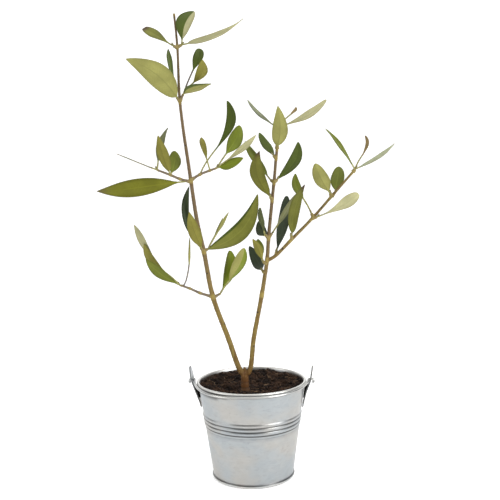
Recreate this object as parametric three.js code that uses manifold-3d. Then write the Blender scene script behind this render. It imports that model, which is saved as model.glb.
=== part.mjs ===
// A young olive in a small zinc pail with a wire bail. Millimetres, +Z up, front towards -Y.
// The origin is the centre of the pail's flat underside.
import * as THREE from 'three';
import { mergeVertices } from 'three/addons/utils/BufferGeometryUtils.js';
import Module from 'manifold-3d';

const wasm = await Module();
wasm.setup();

// ---------------------------------------------------------------- driving dimensions
const GAP = 0.3;

// Pail: a tapering wall with a rolled rim, three half-round ribs and a seamed foot.
const PAIL = {
  height: 60, wall: 0.8, floor: 1.2, footRadius: 24.8, rimRadius: 33.2, segments: 48,
  rollRadius: 0.8, rollStart: -100, rollStep: 45, rollSteps: 6, lip: 2,
  footBead: 0.9, footBeadBottom: 0.5, footBeadTop: 1.5, footBeadHeight: 2.4,
  ribs: [34.5, 37, 39.5], ribDepth: 0.5, ribPitch: 2.5, stepDrop: 1.6,
  ribShape: [[-0.5, 0], [-0.2, 0.8], [0, 1], [0.2, 0.8]], // height in pitches, depth in depths
};
const PAIL_TURN = THREE.MathUtils.degToRad(-5.5); // the ears stand a little off the X axis

// Soil: dished round the trunk and banked up to the wall, soonest at the back.
const SOIL = {
  top: 55.7, bank: 2.4, backFoot: -6, backTop: 24, rimFoot: 17.5, rimTop: 28,
  rings: [1, 0.94, 0.85, 0.75, 0.65, 0.56, 0.3],
};

// Ears: leaning straps, flush with the wall at the foot, with a web behind and a hole for the wire.
const EAR = {
  profiles: {
    right: [[31.1, 42.6], [31.45, 45.2], [33.6, 53.2], [36.3, 60.2], [37.6, 68.6]],
    left: [[31.35, 42.6], [31.75, 45.2], [34.5, 53.2], [36.75, 60.2], [38.1, 68.6]],
  },
  thickness: 0.8, footWidth: 5, width: 9, shoulder: 0.72, roundness: 0.285, tipFlat: 0.05,
  stations: [0, 0.11, 0.42, 0.6, 0.72, 0.84, 0.93, 1],
  web: { foot: 48.5, bend: 53.2, top: 57, thickness: 0.8 },
  holeRadius: 1.35, holeSides: 16, drillLength: 12,
};

// Bail: a half hoop of wire that lies in front of the rim and sags a little under its roll.
const BAIL = {
  wireRadius: 0.75, hoopRadius: 35.2, pivotHeight: 60.2, restDrop: 3.4, shoulder: 1.1,
  reach: { right: 37.4, left: 38 }, sag: { right: 0.3, left: 0.9 },
  hookRadius: 1.2, hookTurn: 170, hookSteps: 4, hoopStart: 4, hoopSteps: 13, sides: 8, steps: 76,
};

// Trunk: from the flat cut at the soil up to the fork, in front of the pail's middle.
const GROUND = SOIL.top + GAP;
const TRUNK = {
  x: -4.2, y: -13, forkHeight: 66, radius: 2.3, flare: 1.1, flareHeight: 1.8, sides: 12,
  levels: [0, 0.5, 1.2, 2.4, 4.5, 7.5], // heights of the flared foot's sections above the cut
  armLength: 4.2, armSwelling: 0.15,
  stub: { x: -4, y: -13.3, foot: 65, top: 71, radius: 0.9 },
};
const FORK = [TRUNK.x, TRUNK.y, TRUNK.forkHeight];

// Limbs: the points are the fork and the leaf nodes, and the radius tapers evenly along each.
const LIMBS = {
  stem_left: {
    nodes: [FORK, [-6.7, -13, 69], [-22.1, -10, 113.7], [-26.9, -7.5, 140.8], [-33.7, -4, 183.6],
      [-39.2, 0, 231.3], [-40, 3, 264.5], [-41.6, 5, 284.8]],
    bends: { 2: [-13.4, -12, 88.5], 4: [-30.7, -6, 160.1] },
    footRadius: 1.65, tipRadius: 0.6, stations: 34,
  },
  stem_right: {
    nodes: [FORK, [-1.2, -13.4, 68.8], [7.3, -11.5, 114.4], [11, -10, 135.3], [12.2, -9.5, 148.4],
      [14.8, -9, 171.1], [16.2, -9, 181.5], [17.7, -9, 196], [18.4, -9, 201.4]],
    bends: { 2: [1.8, -13, 88] },
    footRadius: 1.5, tipRadius: 0.8, stations: 26,
  },
  side_bough: {
    nodes: [[11, -10, 134.8], [15.8, -11, 137.6], [25.4, -13, 147.1], [37.9, -15.5, 159.7],
      [49.1, -17, 172.1], [61.8, -19.5, 186.4]],
    bends: {},
    footRadius: 1.05, tipRadius: 0.65, stations: 16,
  },
};
const LIMB_SIDES = 8;
const NODE_SWELLING = 0.16;
const NODE_REACH = 2.4;

// Leaves: stalk and blade as one closed form. A leaf's row is
// [joint, length, heading, rise, width, roll, sickle, curl], then what it doesn't share with the rest.
// Heading is counted from +X towards +Y, and rise from level, in degrees. Roll turns the blade
// about its own length, sickle bows it edgeways and curl bows it face-ways, by so much at its peak.
// Shares of the length: the stalk, the peak of the bow, and on the blade alone its widest place.
// A smaller blunt rounds the tip off.
const LEAF = { stalk: 0.12, widest: 0.46, fold: 12, blunt: 0.8 };
const STALK = { width: 1, thickness: 0.85 };
const BLADE = {
  thinnest: 0.55, lengthPerThickness: 80, thinning: 0.35,
  stations: [0.14, 0.3, 0.48, 0.66, 0.82, 0.93, 0.98],
};
const ROLL_SPREAD = 4;
const TWIG = { footRadius: 0.85, tipRadius: 0.6, sides: 6 };
const BUD = { length: 2.6, width: 1.1, rise: 60, spread: 25, twist: 14, sides: 4 };

// Foliage: each mass is one stem of [length, heading, rise] steps that leaves a limb at a height,
// with its leaves on the stem's joints.
const SPRIGS = [
  { name: 'top_left', limb: 'stem_left', height: 264.1, colour: 0x5c6a3a, steps: [[2.7, 214, 15]],
    leaves: [[1, 23, 161, 33, 8, -40, 0, 0, { stalk: 0.15, widest: 0.62, blunt: 0.25 }]] },
  { name: 'top_right', limb: 'stem_left', height: 264.5, colour: 0x8f9468, steps: [[3, 339, 18]],
    leaves: [[1, 42, 339, 16, 7.5, -15, -1.5, -2.2, { stalk: 0.1, widest: 0.34, blunt: 1.4 }],
      [1, 21, 326, 61, 12.8, -14, 4, -1, { stalk: 0.15, widest: 0.55, fold: 20, blunt: 0.6 }]] },
  { name: 'upper_left', limb: 'stem_left', height: 231.9, colour: 0x8d9160, steps: [[3.1, 196, 49]],
    leaves: [[0.3, 39.5, 209, 34, 14.5, 55, -4.4, -2, { stalk: 0.06, widest: 0.4 }],
      [1, 31, 141, 49, 9, 15, -1, 1.5, { stalk: 0.1 }],
      [1, 31, 125, 75, 7.5, 30, -1.5, 0, { widest: 0.65 }]] },
  { name: 'upper_right', limb: 'stem_left', height: 231.9, colour: 0x66713f, steps: [[4.7, 346, 60]],
    leaves: [[1, 33, 52, 62, 7.5, 15, 2.2, 1, { stalk: 0.48, widest: 0.62, blunt: 0.45 }],
      [1, 24, 326, 51, 9, -15, -2, -3, { stalk: 0.37, widest: 0.6 }],
      [1, 23, 321, 9, 9, -15, 2.2, -1, { stalk: 0.08, widest: 0.4, fold: 18 }]] },
  { name: 'middle_left', limb: 'stem_left', height: 183.1, colour: 0x87893c,
    steps: [[6.9, 184, 16], [6.1, 185, 24], [8.6, 184, 22]],
    leaves: [[0.25, 55, 186, -5, 11.5, -75, 0, -3.2, { widest: 0.52, peak: 0.74, blunt: 0.95 }],
      [3, 26, 201, 22, 5.5, -10, 0, 0, { fold: 4 }],
      [3, 30, 65, 61, 6.5, -15, -1, 1.5, { stalk: 0.2 }],
      [2, 25, 228, 69, 8, 15, 0.5, -0.5, { stalk: 0.1, widest: 0.42 }],
      [2, 19, 80, 52, 8, 30, 1, 0, { stalk: 0.1, widest: 0.5, blunt: 0.5 }]] },
  { name: 'middle_right', limb: 'stem_left', height: 184.2, colour: 0x7d8a3e,
    steps: [[6.5, 0, 30], [6.5, 355, 20], [4.5, 353, 18]],
    leaves: [[1, 50, 35, 65, 7.5, 20, 6.5, -3, { stalk: 0.35, widest: 0.62, blunt: 0.6 }],
      [2, 21, 240, 67, 7, -20, 4, 2, { stalk: 0.35, widest: 0.5, blunt: 0.6 }],
      [3, 31, 32, 56, 9.5, 85, 1.5, 0, { stalk: 0.35, widest: 0.54, blunt: 0.55 }],
      [3, 32, 335, 35, 5.5, -25, -0.5, -1, { stalk: 0.3, widest: 0.5 }],
      [3, 19, 332, 16, 8, 60, 0.5, -0.5, { stalk: 0.1 }]] },
  { name: 'lower_left', limb: 'stem_left', height: 141.2, colour: 0x4f5e33, steps: [[3.3, 208, 49]],
    leaves: [[1, 40, 116, 68, 7.5, 25, -4.6, -3.5, { stalk: 0.1, widest: 0.5, peak: 0.48 }],
      [0.4, 27.5, 244, 58, 7.5, 30, 0.8, -2, { stalk: 0.1 }]] },
  { name: 'lower_right', limb: 'stem_left', height: 141.4, colour: 0x7f8748, steps: [[2.9, 348, 25]],
    leaves: [[0.3, 47, 10, 45, 11.3, 66, 6.8, -6, { stalk: 0.04, peak: 0.52, blunt: 0.75 }],
      [1, 27, 38, 53, 4.5, -60, -0.5, 0, { stalk: 0.45, widest: 0.5 }],
      [1, 24, 55, 49, 4.5, -70, -1.5, 0, { stalk: 0.45 }]] },
  { name: 'low_left', limb: 'stem_left', height: 113.7, colour: 0x88894f,
    steps: [[8.2, 184, 19], [6.6, 185, 26], [6.3, 185, 21]],
    leaves: [[3, 26, 193, 40, 6.2, -105, -1.8, -0.5, { stalk: 0.08, widest: 0.55 }],
      [3, 33, 173, 50, 7.5, 60, 2, -2.5, { stalk: 0.35, widest: 0.6 }],
      [3, 46, 168, 53, 7.5, 60, 2, -2.5, { stalk: 0.4, widest: 0.6, peak: 0.5 }],
      [2.65, 30, 65, 72, 6, -75, 0, -1.8, { stalk: 0.45, widest: 0.45, peak: 0.4 }]] },
  { name: 'low_right', limb: 'stem_left', height: 113.3, colour: 0x8a9145, steps: [[5.1, 354, 28]],
    leaves: [[1, 27, 46, 70, 7.5, 50, 2.5, 0.5, { stalk: 0.1, widest: 0.55, blunt: 0.5 }],
      [1, 32, 340, 60, 10, -35, -1.5, -1.5, { stalk: 0.3, widest: 0.55, fold: 20, blunt: 0.65 }]] },
  { name: 'crest', limb: 'stem_right', height: 201.4, colour: 0x9b9f78,
    steps: [[6.5, 56, 85], [6.2, 62, 85]],
    leaves: [[0.1, 29, 270, 51, 9.5, -5, -1.5, -2.5, { stalk: 0.06, widest: 0.4 }],
      [2, 25, 205, 39, 6, 5, 2, -1, { stalk: 0.1, widest: 0.55 }],
      [2, 33, 348, 27, 7, -35, -1.5, -2, { stalk: 0.12, widest: 0.6, blunt: 0.55 }],
      [2, 19, 33, 43, 3.4, 15, 1.5, -0.5, { stalk: 0.65 }]] },
  { name: 'right_a', limb: 'stem_right', height: 196, colour: 0x4d5c34, steps: [[2.4, 156, 44]],
    leaves: [[0.3, 22.3, 124, 45, 6.5, -10, -0.5, -0.5, { stalk: 0.08, blunt: 0.6 }]] },
  { name: 'right_b', limb: 'stem_right', height: 181.8, colour: 0x53613a, steps: [[2.6, 13, 34]],
    leaves: [[0.4, 31, 41, 50, 8.5, 20, 4, -1, { stalk: 0.08, widest: 0.48, blunt: 0.6 }]] },
  { name: 'right_c', limb: 'stem_right', height: 181.8, colour: 0x48573a, steps: [[2.6, 154, 28]],
    leaves: [[1, 32, 136, 50, 8, -5, -0.5, -0.5]] },
  { name: 'right_d', limb: 'stem_right', height: 171.4, colour: 0x7c7f4a, steps: [[2.7, 241, 33]],
    leaves: [[0.8, 30, 240, 65, 10, 0, 5.2, 0, { stalk: 0.06, widest: 0.42 }]] },
  { name: 'right_e', limb: 'stem_right', height: 149, colour: 0x8b8d5a, steps: [[3.3, 34, 38]],
    leaves: [[1, 31, 13, 55, 6, 25, 0, 0, { stalk: 0.2 }]] },
  { name: 'right_f', limb: 'stem_right', height: 148.5, colour: 0x4a573f, steps: [[3, 206, 39]],
    leaves: [[1, 18, 247, 67, 6, -35, 1.5, 0, { stalk: 0.15, widest: 0.5, blunt: 0.6 }],
      [1, 20, 99, 23, 7, -5, 0, -4.5, { stalk: 0.08, widest: 0.6, blunt: 0.5 }]] },
  { name: 'right_g', limb: 'stem_right', height: 132.9, colour: 0x5d6846, steps: [[2.7, 190, 35]],
    leaves: [[1, 17, 230, 57, 5, 25, -0.5, 0.5],
      [1, 17, 102, 49, 6, 20, 0, 0, { stalk: 0.25, widest: 0.52, blunt: 0.6 }]] },
  { name: 'right_h', limb: 'stem_right', height: 127.4, colour: 0x3f4c3c, steps: [[2.6, 140, 30]],
    leaves: [[1, 24.2, 112, 34.5, 8, -40, -0.5, -4, { stalk: 0.08, blunt: 0.6 }]] },
  { name: 'bough_a', limb: 'side_bough', height: 138.2, colour: 0x3f4c3c, steps: [[2.4, 85, 47]],
    leaves: [[1, 39, 67, 59, 9, -10, 1.5, 0, { stalk: 0.06, widest: 0.52, blunt: 0.5 }]] },
  { name: 'bough_b', limb: 'side_bough', height: 147.8, colour: 0x7f8550, steps: [[2.4, 250, 50]],
    leaves: [[0.6, 33, 313, 70, 9, 90, -1.5, 1.5, { stalk: 0.08, widest: 0.38 }]] },
  { name: 'bough_c', limb: 'side_bough', height: 160.6, colour: 0x5f6c3c, steps: [[2.6, 151, 59]],
    leaves: [[1, 27, 131, 62, 5.5, -40, -2, -1.5, { stalk: 0.4, widest: 0.5, blunt: 0.6 }]] },
  { name: 'bough_d', limb: 'side_bough', height: 159.9, colour: 0xa3a57c, steps: [[2.9, 340, 13]],
    leaves: [[1, 28, 343, 28, 9.5, -45, -0.5, -1.4, { stalk: 0.1, widest: 0.7, blunt: 0.4 }]] },
  { name: 'bough_e', limb: 'side_bough', height: 172.4, colour: 0x9da074, steps: [[2.4, 240, 46]],
    leaves: [[1, 21.8, 224, 53, 9.5, 25, 0.7, -0.5, { stalk: 0.1, blunt: 0.6 }]] },
  { name: 'bough_f', limb: 'side_bough', height: 172.7, colour: 0x5f6d3c, steps: [[3, 30, 42]],
    leaves: [[1, 20, 71, 51, 8.5, 0, 0.5, 0.5, { stalk: 0.1, widest: 0.45, blunt: 0.5 }]] },
  { name: 'bough_tip', limb: 'side_bough', height: 186.4, colour: 0x84895a, steps: [[2, 340, 50]],
    leaves: [[1, 30, 200, 51, 6.5, -50, 0, 1, { stalk: 0.12, widest: 0.5 }],
      [1, 21, 28, 69, 5, -12, 2.6, -2, { stalk: 0.4, widest: 0.6, blunt: 0.5 }],
      [1, 27, 354, 32, 5.5, -25, 0.5, -2, { stalk: 0.1 }]] },
];

// ---------------------------------------------------------------- small helpers
const UP = new THREE.Vector3(0, 0, 1);
const point = ([x, y, z]) => new THREE.Vector3(x, y, z);
const along = (origin, ...terms) => terms.reduce((p, [v, k]) => p.addScaledVector(v, k), origin.clone());

/** Unit vector at a heading from +X towards +Y and a rise above level, in degrees. */
function direction(heading, rise) {
  const h = THREE.MathUtils.degToRad(heading);
  const r = THREE.MathUtils.degToRad(rise);
  return new THREE.Vector3(Math.cos(h) * Math.cos(r), Math.sin(h) * Math.cos(r), Math.sin(r));
}

/** The seeded rule's draw number k, even between -1 and 1. */
function draw(k) {
  const s = Math.sin(k * 12.9898 + 78.233) * 43758.5453;
  return 2 * (s - Math.floor(s)) - 1;
}

/** Closed surface through rings of equal size, with a flat fan or one point at each end. */
function loft(rings) {
  const n = Math.max(...rings.map((ring) => ring.length));
  const position = rings.flat().flatMap((p) => [p.x, p.y, p.z]);
  const starts = rings.map((_, i) => rings.slice(0, i).reduce((sum, ring) => sum + ring.length, 0));
  const at = (i, j) => starts[i] + (rings[i].length === 1 ? 0 : j % n);
  const index = [];
  for (let i = 0; i + 1 < rings.length; i++) {
    for (let j = 0; j < n; j++) {
      const [a, b, c, d] = [at(i, j), at(i, j + 1), at(i + 1, j + 1), at(i + 1, j)];
      if (a !== b) index.push(a, b, c);
      if (c !== d) index.push(a, c, d);
    }
  }
  const last = rings.length - 1;
  for (let j = 1; j + 1 < n; j++) {
    if (rings[0].length > 1) index.push(at(0, 0), at(0, j + 1), at(0, j));
    if (rings[last].length > 1) index.push(at(last, 0), at(last, j), at(last, j + 1));
  }
  const geometry = new THREE.BufferGeometry();
  geometry.setAttribute('position', new THREE.Float32BufferAttribute(position, 3));
  geometry.setIndex(index);
  return geometry;
}

/** Ring of n points, counter-clockwise as seen from the end that the axis points to. */
function ring(centre, axis, radius, n) {
  const reference = Math.abs(axis.y) > 0.9 ? UP : new THREE.Vector3(0, 1, 0);
  const side = new THREE.Vector3().crossVectors(reference, axis).normalize();
  const other = new THREE.Vector3().crossVectors(axis, side);
  return Array.from({ length: n }, (_, j) => {
    const a = (2 * Math.PI * j) / n;
    return along(centre, [side, radius * Math.cos(a)], [other, radius * Math.sin(a)]);
  });
}

/** Manifold solid of a closed three.js geometry. */
function solid(geometry) {
  const bare = geometry.clone();
  bare.deleteAttribute('normal');
  bare.deleteAttribute('uv');
  const merged = mergeVertices(bare, 1e-5);
  return new wasm.Manifold(new wasm.Mesh({
    numProp: 3,
    vertProperties: new Float32Array(merged.attributes.position.array),
    triVerts: new Uint32Array(merged.index.array),
  }));
}

/** three.js geometry of a manifold solid. */
function surface(body) {
  const mesh = body.getMesh();
  const geometry = new THREE.BufferGeometry();
  geometry.setAttribute('position', new THREE.BufferAttribute(mesh.vertProperties, 3));
  geometry.setIndex(new THREE.BufferAttribute(mesh.triVerts, 1));
  geometry.computeVertexNormals();
  return geometry;
}

const joined = (bodies) => bodies.reduce((sum, body) => sum.add(body));

// ---------------------------------------------------------------- limbs
/** Smooth line of a limb through its fork, bends and nodes, with the radius at each share of it. */
function limbLine({ nodes, bends, footRadius, tipRadius }) {
  const points = nodes.flatMap((p, i) => (bends[i] ? [point(bends[i]), point(p)] : [point(p)]));
  const curve = new THREE.CatmullRomCurve3(points, false, 'centripetal');
  const total = curve.getLength();
  const swellings = nodes.slice(2).map(point);
  const radius = (share) => {
    const here = curve.getPointAt(share);
    const even = footRadius + (tipRadius - footRadius) * share;
    const bump = Math.max(...swellings.map((p) => Math.exp(-((here.distanceTo(p) / NODE_REACH) ** 2))));
    return even * (1 + NODE_SWELLING * bump);
  };
  return { curve, total, radius };
}

/** Tapering limb between two lengths along its line, wider all round by extra. */
function limbGeometry(spec, from = 0, to = Infinity, extra = 0) {
  const { curve, total, radius } = limbLine(spec);
  const [start, end] = [from / total, Math.min(to, total) / total];
  const count = Math.max(2, Math.round(spec.stations * (end - start)));
  const rings = Array.from({ length: count + 1 }, (_, i) => {
    const share = start + ((end - start) * i) / count;
    return ring(curve.getPointAt(share), curve.getTangentAt(share), radius(share) + extra, LIMB_SIDES);
  });
  return loft(rings);
}

/** Limb solid grown by the gap on all sides, which keeps what grows from the limb clear of it. */
function clearance(spec) {
  const { curve, total } = limbLine(spec);
  const ahead = curve.getTangentAt(1);
  const tip = ring(curve.getPointAt(1), ahead, spec.tipRadius * (1 + NODE_SWELLING) + GAP, LIMB_SIDES);
  const end = loft([tip, tip.map((p) => along(p, [ahead, GAP]))]);
  return solid(limbGeometry(spec, 0, total, GAP)).add(solid(end));
}

/** Trunk: flared foot on a flat cut, two short arms to the stems and the stub of a cut leader. */
function trunkGeometry() {
  const { x, y, forkHeight, levels, armLength, armSwelling, stub } = TRUNK;
  const column = loft([...levels, forkHeight - GROUND].map((up) => {
    const radius = TRUNK.radius + TRUNK.flare * Math.exp(-up / TRUNK.flareHeight);
    return ring(new THREE.Vector3(x, y, GROUND + up), UP, radius, TRUNK.sides);
  }));
  const arms = ['stem_left', 'stem_right'].map((name) => (
    limbGeometry(LIMBS[name], 0, armLength, armSwelling)));
  const cut = loft([stub.foot, stub.top].map((z) => (
    ring(point([stub.x, stub.y, z]), UP, stub.radius, LIMB_SIDES))));
  return surface(joined([column, ...arms, cut].map(solid)));
}

/** Stem from just past its arm on the trunk to its tip. */
const stemGeometry = (name) => limbGeometry(LIMBS[name], TRUNK.armLength + GAP);

/** Side bough, which starts clear of the stem that carries it. */
function boughGeometry() {
  return surface(solid(limbGeometry(LIMBS.side_bough)).subtract(clearance(LIMBS.stem_right)));
}

// ---------------------------------------------------------------- foliage
/** Half-width of a lance-shaped blade as a share of the greatest, past its widest place by its bluntness. */
function bladeShare(v, widest, blunt) {
  const arch = Math.sin(Math.PI * v ** (Math.log(0.5) / Math.log(widest)));
  return arch ** (v < widest ? LEAF.blunt : blunt);
}

/** Height of a bow that starts and ends at 0 and is 1 at its peak. */
function bow(u, peak) {
  const power = peak / (1 - peak);
  return (u ** power * (1 - u)) / (peak ** power * (1 - peak));
}

/** One leaf: a shallow V in section, carried along a bowed line from inside its twig to its tip. */
function leafGeometry(root, [, length, heading, rise, width, roll, sickle = 0, curl = 0, own = {}], seed) {
  const { stalk, widest, fold, blunt, peak = (1 + stalk) / 2 } = { ...LEAF, ...own };
  const ahead = direction(heading, rise);
  const turn = THREE.MathUtils.degToRad(roll + ROLL_SPREAD * draw(seed));
  const side = new THREE.Vector3().crossVectors(ahead, UP).normalize().applyAxisAngle(ahead, turn);
  const face = new THREE.Vector3().crossVectors(side, ahead);
  const lift = THREE.MathUtils.degToRad(fold);
  const thickness = Math.max(BLADE.thinnest, length / BLADE.lengthPerThickness);
  const centre = (u) => {
    const height = bow(u, peak);
    return along(root, [ahead, length * u], [side, sickle * height], [face, curl * height]);
  };
  const section = (u, half, thick) => {
    const raised = half > STALK.width;
    const [out, up] = raised ? [half * Math.cos(lift), half * Math.sin(lift)] : [half, 0];
    const c = centre(u);
    return [along(c, [side, out], [face, up]), along(c, [face, -thick / 2]),
      along(c, [side, -out], [face, up]), along(c, [face, thick / 2])];
  };
  const blade = BLADE.stations.map((v) => {
    const half = Math.max((STALK.width * (1 - v)) / 2, (width / 2) * bladeShare(v, widest, blunt));
    return section(stalk + (1 - stalk) * v, half, thickness * (1 - BLADE.thinning * v));
  });
  const foot = [0, stalk].map((u) => section(u, STALK.width / 2, STALK.thickness));
  return loft([...foot, ...blade, [centre(1)]]);
}

/** Resting bud at a joint: a slim closed scale, turned and raised by the seeded rule. */
function budGeometry(root, heading, seed) {
  const ahead = direction(heading + BUD.spread * draw(seed), BUD.rise + BUD.twist * draw(seed + 1));
  const [middle, tip] = [0.5, 1].map((share) => along(root, [ahead, BUD.length * share]));
  const [foot, belly] = [[root, 1 / 3], [middle, 1 / 2]].map(([at, share]) => (
    ring(at, ahead, BUD.width * share, BUD.sides)));
  return loft([foot, belly, [tip]]);
}

/** Point of a limb at a height above the underside. */
function limbPoint(spec, height) {
  const { curve } = limbLine(spec);
  let [low, high] = [0, 1];
  for (let i = 0; i < 30; i++) {
    const middle = (low + high) / 2;
    if (curve.getPointAt(middle).z < height) low = middle;
    else high = middle;
  }
  return curve.getPointAt(high);
}

/** One mass: a stem that branches at its joints, leaves and buds fused on, kept clear of its limb. */
function sprigGeometry({ limb, height, steps, leaves }, seed) {
  const joints = [limbPoint(LIMBS[limb], height)];
  steps.forEach(([length, heading, rise]) => {
    joints.push(along(joints.at(-1), [direction(heading, rise), length]));
  });
  const place = (joint) => {
    const whole = Math.min(Math.floor(joint), joints.length - 2);
    return joints[whole].clone().lerp(joints[whole + 1], joint - whole);
  };
  const twig = loft(joints.map((joint, i) => {
    const [before, after] = [joints[Math.max(i - 1, 0)], joints[Math.min(i + 1, joints.length - 1)]];
    const axis = after.clone().sub(before).normalize();
    const radius = TWIG.footRadius + ((TWIG.tipRadius - TWIG.footRadius) * i) / (joints.length - 1);
    return ring(joint, axis, radius, TWIG.sides);
  }));
  const bodies = leaves.map((row, i) => leafGeometry(place(row[0]), row, seed + 7 * i));
  const bud = budGeometry(joints.at(-1), steps.at(-1)[1], seed + 3);
  const whole = joined([twig, ...bodies, bud].map(solid)).subtract(clearance(LIMBS[limb]));
  const pieces = whole.decompose().sort((a, b) => b.volume() - a.volume());
  return surface(pieces[0]);
}

// ---------------------------------------------------------------- pail
const wallRadius = (z) => PAIL.footRadius + ((PAIL.rimRadius - PAIL.footRadius) * z) / PAIL.height;

/** Pail: one profile turned about Z, up the outside over foot bead, ribs and roll and down inside. */
function pailGeometry() {
  const { footRadius, footBead, footBeadHeight, rollRadius, height, wall, floor, ribs, ribPitch } = PAIL;
  const beadRadius = footRadius + footBead;
  const foot = [[0, 0], [footRadius, 0], [beadRadius, PAIL.footBeadBottom], [beadRadius, PAIL.footBeadTop],
    [wallRadius(footBeadHeight), footBeadHeight]];
  const low = ribs[0] - ribPitch / 2 - PAIL.stepDrop;
  const high = ribs.at(-1) + ribPitch / 2;
  const ribbed = ribs.flatMap((z) => PAIL.ribShape.map(([rise, out]) => (
    [wallRadius(z) + PAIL.ribDepth * out, z + rise * ribPitch])));
  const roll = Array.from({ length: PAIL.rollSteps + 1 }, (_, i) => {
    const a = THREE.MathUtils.degToRad(PAIL.rollStart + PAIL.rollStep * i);
    return [wallRadius(height) + rollRadius * Math.cos(a), height - rollRadius + rollRadius * Math.sin(a)];
  });
  const inside = [height - PAIL.lip, floor].map((z) => [wallRadius(z) - wall, z]);
  const [step, shoulder] = [low, high].map((z) => [wallRadius(z), z]);
  const outline = [...foot, step, ...ribbed, shoulder, ...roll, ...inside, [0, floor]];
  const profile = outline.map(([r, z]) => new THREE.Vector2(r, z));
  const geometry = new THREE.LatheGeometry(profile, PAIL.segments);
  geometry.rotateX(Math.PI / 2);
  return geometry;
}

/** Soil: fills the pail clear of wall and floor, level round the trunk and banked up to the wall. */
function soilGeometry() {
  const { smoothstep } = THREE.MathUtils;
  const reach = (z) => wallRadius(z) - PAIL.wall - GAP;
  const bottom = PAIL.floor + GAP;
  const level = (x, y) => SOIL.top + SOIL.bank * Math.max(
    smoothstep(y, SOIL.backFoot, SOIL.backTop), smoothstep(Math.hypot(x, y), SOIL.rimFoot, SOIL.rimTop));
  const circle = (radius, height) => Array.from({ length: PAIL.segments }, (_, j) => {
    const a = (2 * Math.PI * j) / PAIL.segments;
    const [x, y] = [radius * Math.cos(a), radius * Math.sin(a)];
    return new THREE.Vector3(x, y, height(x, y));
  });
  const top = SOIL.rings.map((share) => circle(share * reach(SOIL.top), level));
  return loft([circle(reach(bottom), () => bottom), ...top, [new THREE.Vector3(0, 0, level(0, 0))]]);
}

/** Ear before the turns: a strap bent along its profile, a web to the wall, and a hole at the pivot. */
function earGeometry(profile) {
  const { thickness, shoulder, holeRadius, web } = EAR;
  const [foot, top] = [profile[0][1], profile.at(-1)[1]];
  const halfWidth = (t) => {
    const belly = THREE.MathUtils.lerp(EAR.footWidth, EAR.width, Math.min(1, t / shoulder)) / 2;
    const past = Math.max(0, t - shoulder) / EAR.roundness;
    return belly * Math.sqrt(Math.max(EAR.tipFlat, 1 - past ** 2));
  };
  const radial = (z) => {
    const k = profile.findIndex(([, level], i) => i > 0 && z <= level + 1e-6);
    return THREE.MathUtils.mapLinear(z, profile[k - 1][1], profile[k][1], profile[k - 1][0], profile[k][0]);
  };
  const strap = loft(EAR.stations.map((t) => {
    const z = THREE.MathUtils.lerp(foot, top, t);
    const [r, w] = [radial(z), halfWidth(t)];
    return [[r, -w, z], [r + thickness, -w, z], [r + thickness, w, z], [r, w, z]].map(point);
  }));
  const plate = loft([-0.5, 0.5].map((side) => [
    ...[web.foot, web.top].map((z) => [wallRadius(z) + GAP, z]),
    ...[web.top, web.bend, web.foot].map((z) => [radial(z) + thickness / 2, z]),
  ].map(([r, z]) => new THREE.Vector3(r, side * web.thickness, z))));
  const drill = new THREE.CylinderGeometry(holeRadius, holeRadius, EAR.drillLength, EAR.holeSides);
  drill.rotateZ(Math.PI / 2);
  drill.translate(radial(BAIL.pivotHeight), 0, BAIL.pivotHeight);
  return surface(joined([strap, plate].map(solid)).subtract(solid(drill)));
}

/** Bail at rest: a half hoop tilted down to the front, whose ends go out through the ears and hook back. */
function bailGeometry() {
  const { hoopRadius, shoulder, hookRadius, hookSteps, hoopSteps, sides } = BAIL;
  const radians = THREE.MathUtils.degToRad;
  const half = (reach, sag) => {
    const hook = Array.from({ length: hookSteps + 1 }, (_, i) => {
      const a = (radians(BAIL.hookTurn) * i) / hookSteps;
      return [reach + hookRadius * Math.sin(a), 0, hookRadius * (Math.cos(a) - 1)];
    });
    const hoop = Array.from({ length: hoopSteps + 1 }, (_, i) => {
      const a = radians(BAIL.hoopStart + ((90 - BAIL.hoopStart) * i) / hoopSteps);
      return [hoopRadius * Math.cos(a), -hoopRadius * Math.sin(a), -sag * Math.sin(2 * a) ** 2];
    });
    const pivot = [[hoopRadius + shoulder, 0, 0], [hoopRadius + shoulder / 3, -shoulder / 3, 0]];
    return [...hook.reverse(), ...pivot, ...hoop];
  };
  const right = half(BAIL.reach.right, BAIL.sag.right);
  const left = half(BAIL.reach.left, BAIL.sag.left).slice(0, -1).reverse().map(([x, y, z]) => [-x, y, z]);
  const curve = new THREE.CatmullRomCurve3([...right, ...left].map(point), false, 'centripetal');
  const corners = Array.from({ length: sides }, (_, j) => {
    const a = (2 * Math.PI * j) / sides;
    return new THREE.Vector2(BAIL.wireRadius * Math.cos(a), BAIL.wireRadius * Math.sin(a));
  });
  const geometry = new THREE.ExtrudeGeometry(new THREE.Shape(corners), {
    steps: BAIL.steps, extrudePath: curve, bevelEnabled: false,
  });
  geometry.rotateX(radians(BAIL.restDrop));
  geometry.translate(0, 0, BAIL.pivotHeight);
  return geometry;
}

// ---------------------------------------------------------------- assembly
const tree = new THREE.Group();
const planter = new THREE.Group();
planter.rotation.z = PAIL_TURN;
tree.add(planter);

const zinc = () => new THREE.MeshStandardMaterial({ color: 0xb9bcbc, roughness: 0.38, metalness: 0.9 });
const bark = () => new THREE.MeshStandardMaterial({ color: 0x8a6a45, roughness: 0.85, metalness: 0 });

function add(parent, name, geometry, material) {
  const mesh = new THREE.Mesh(geometry, material);
  mesh.name = name;
  parent.add(mesh);
  return mesh;
}

add(planter, 'pail', pailGeometry(), zinc());
add(planter, 'soil', soilGeometry(), new THREE.MeshStandardMaterial({ color: 0x33241c, roughness: 1 }));
add(planter, 'ear_right', earGeometry(EAR.profiles.right), zinc());
add(planter, 'ear_left', earGeometry(EAR.profiles.left), zinc()).rotation.z = Math.PI;
add(planter, 'bail', bailGeometry(), zinc());

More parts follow.
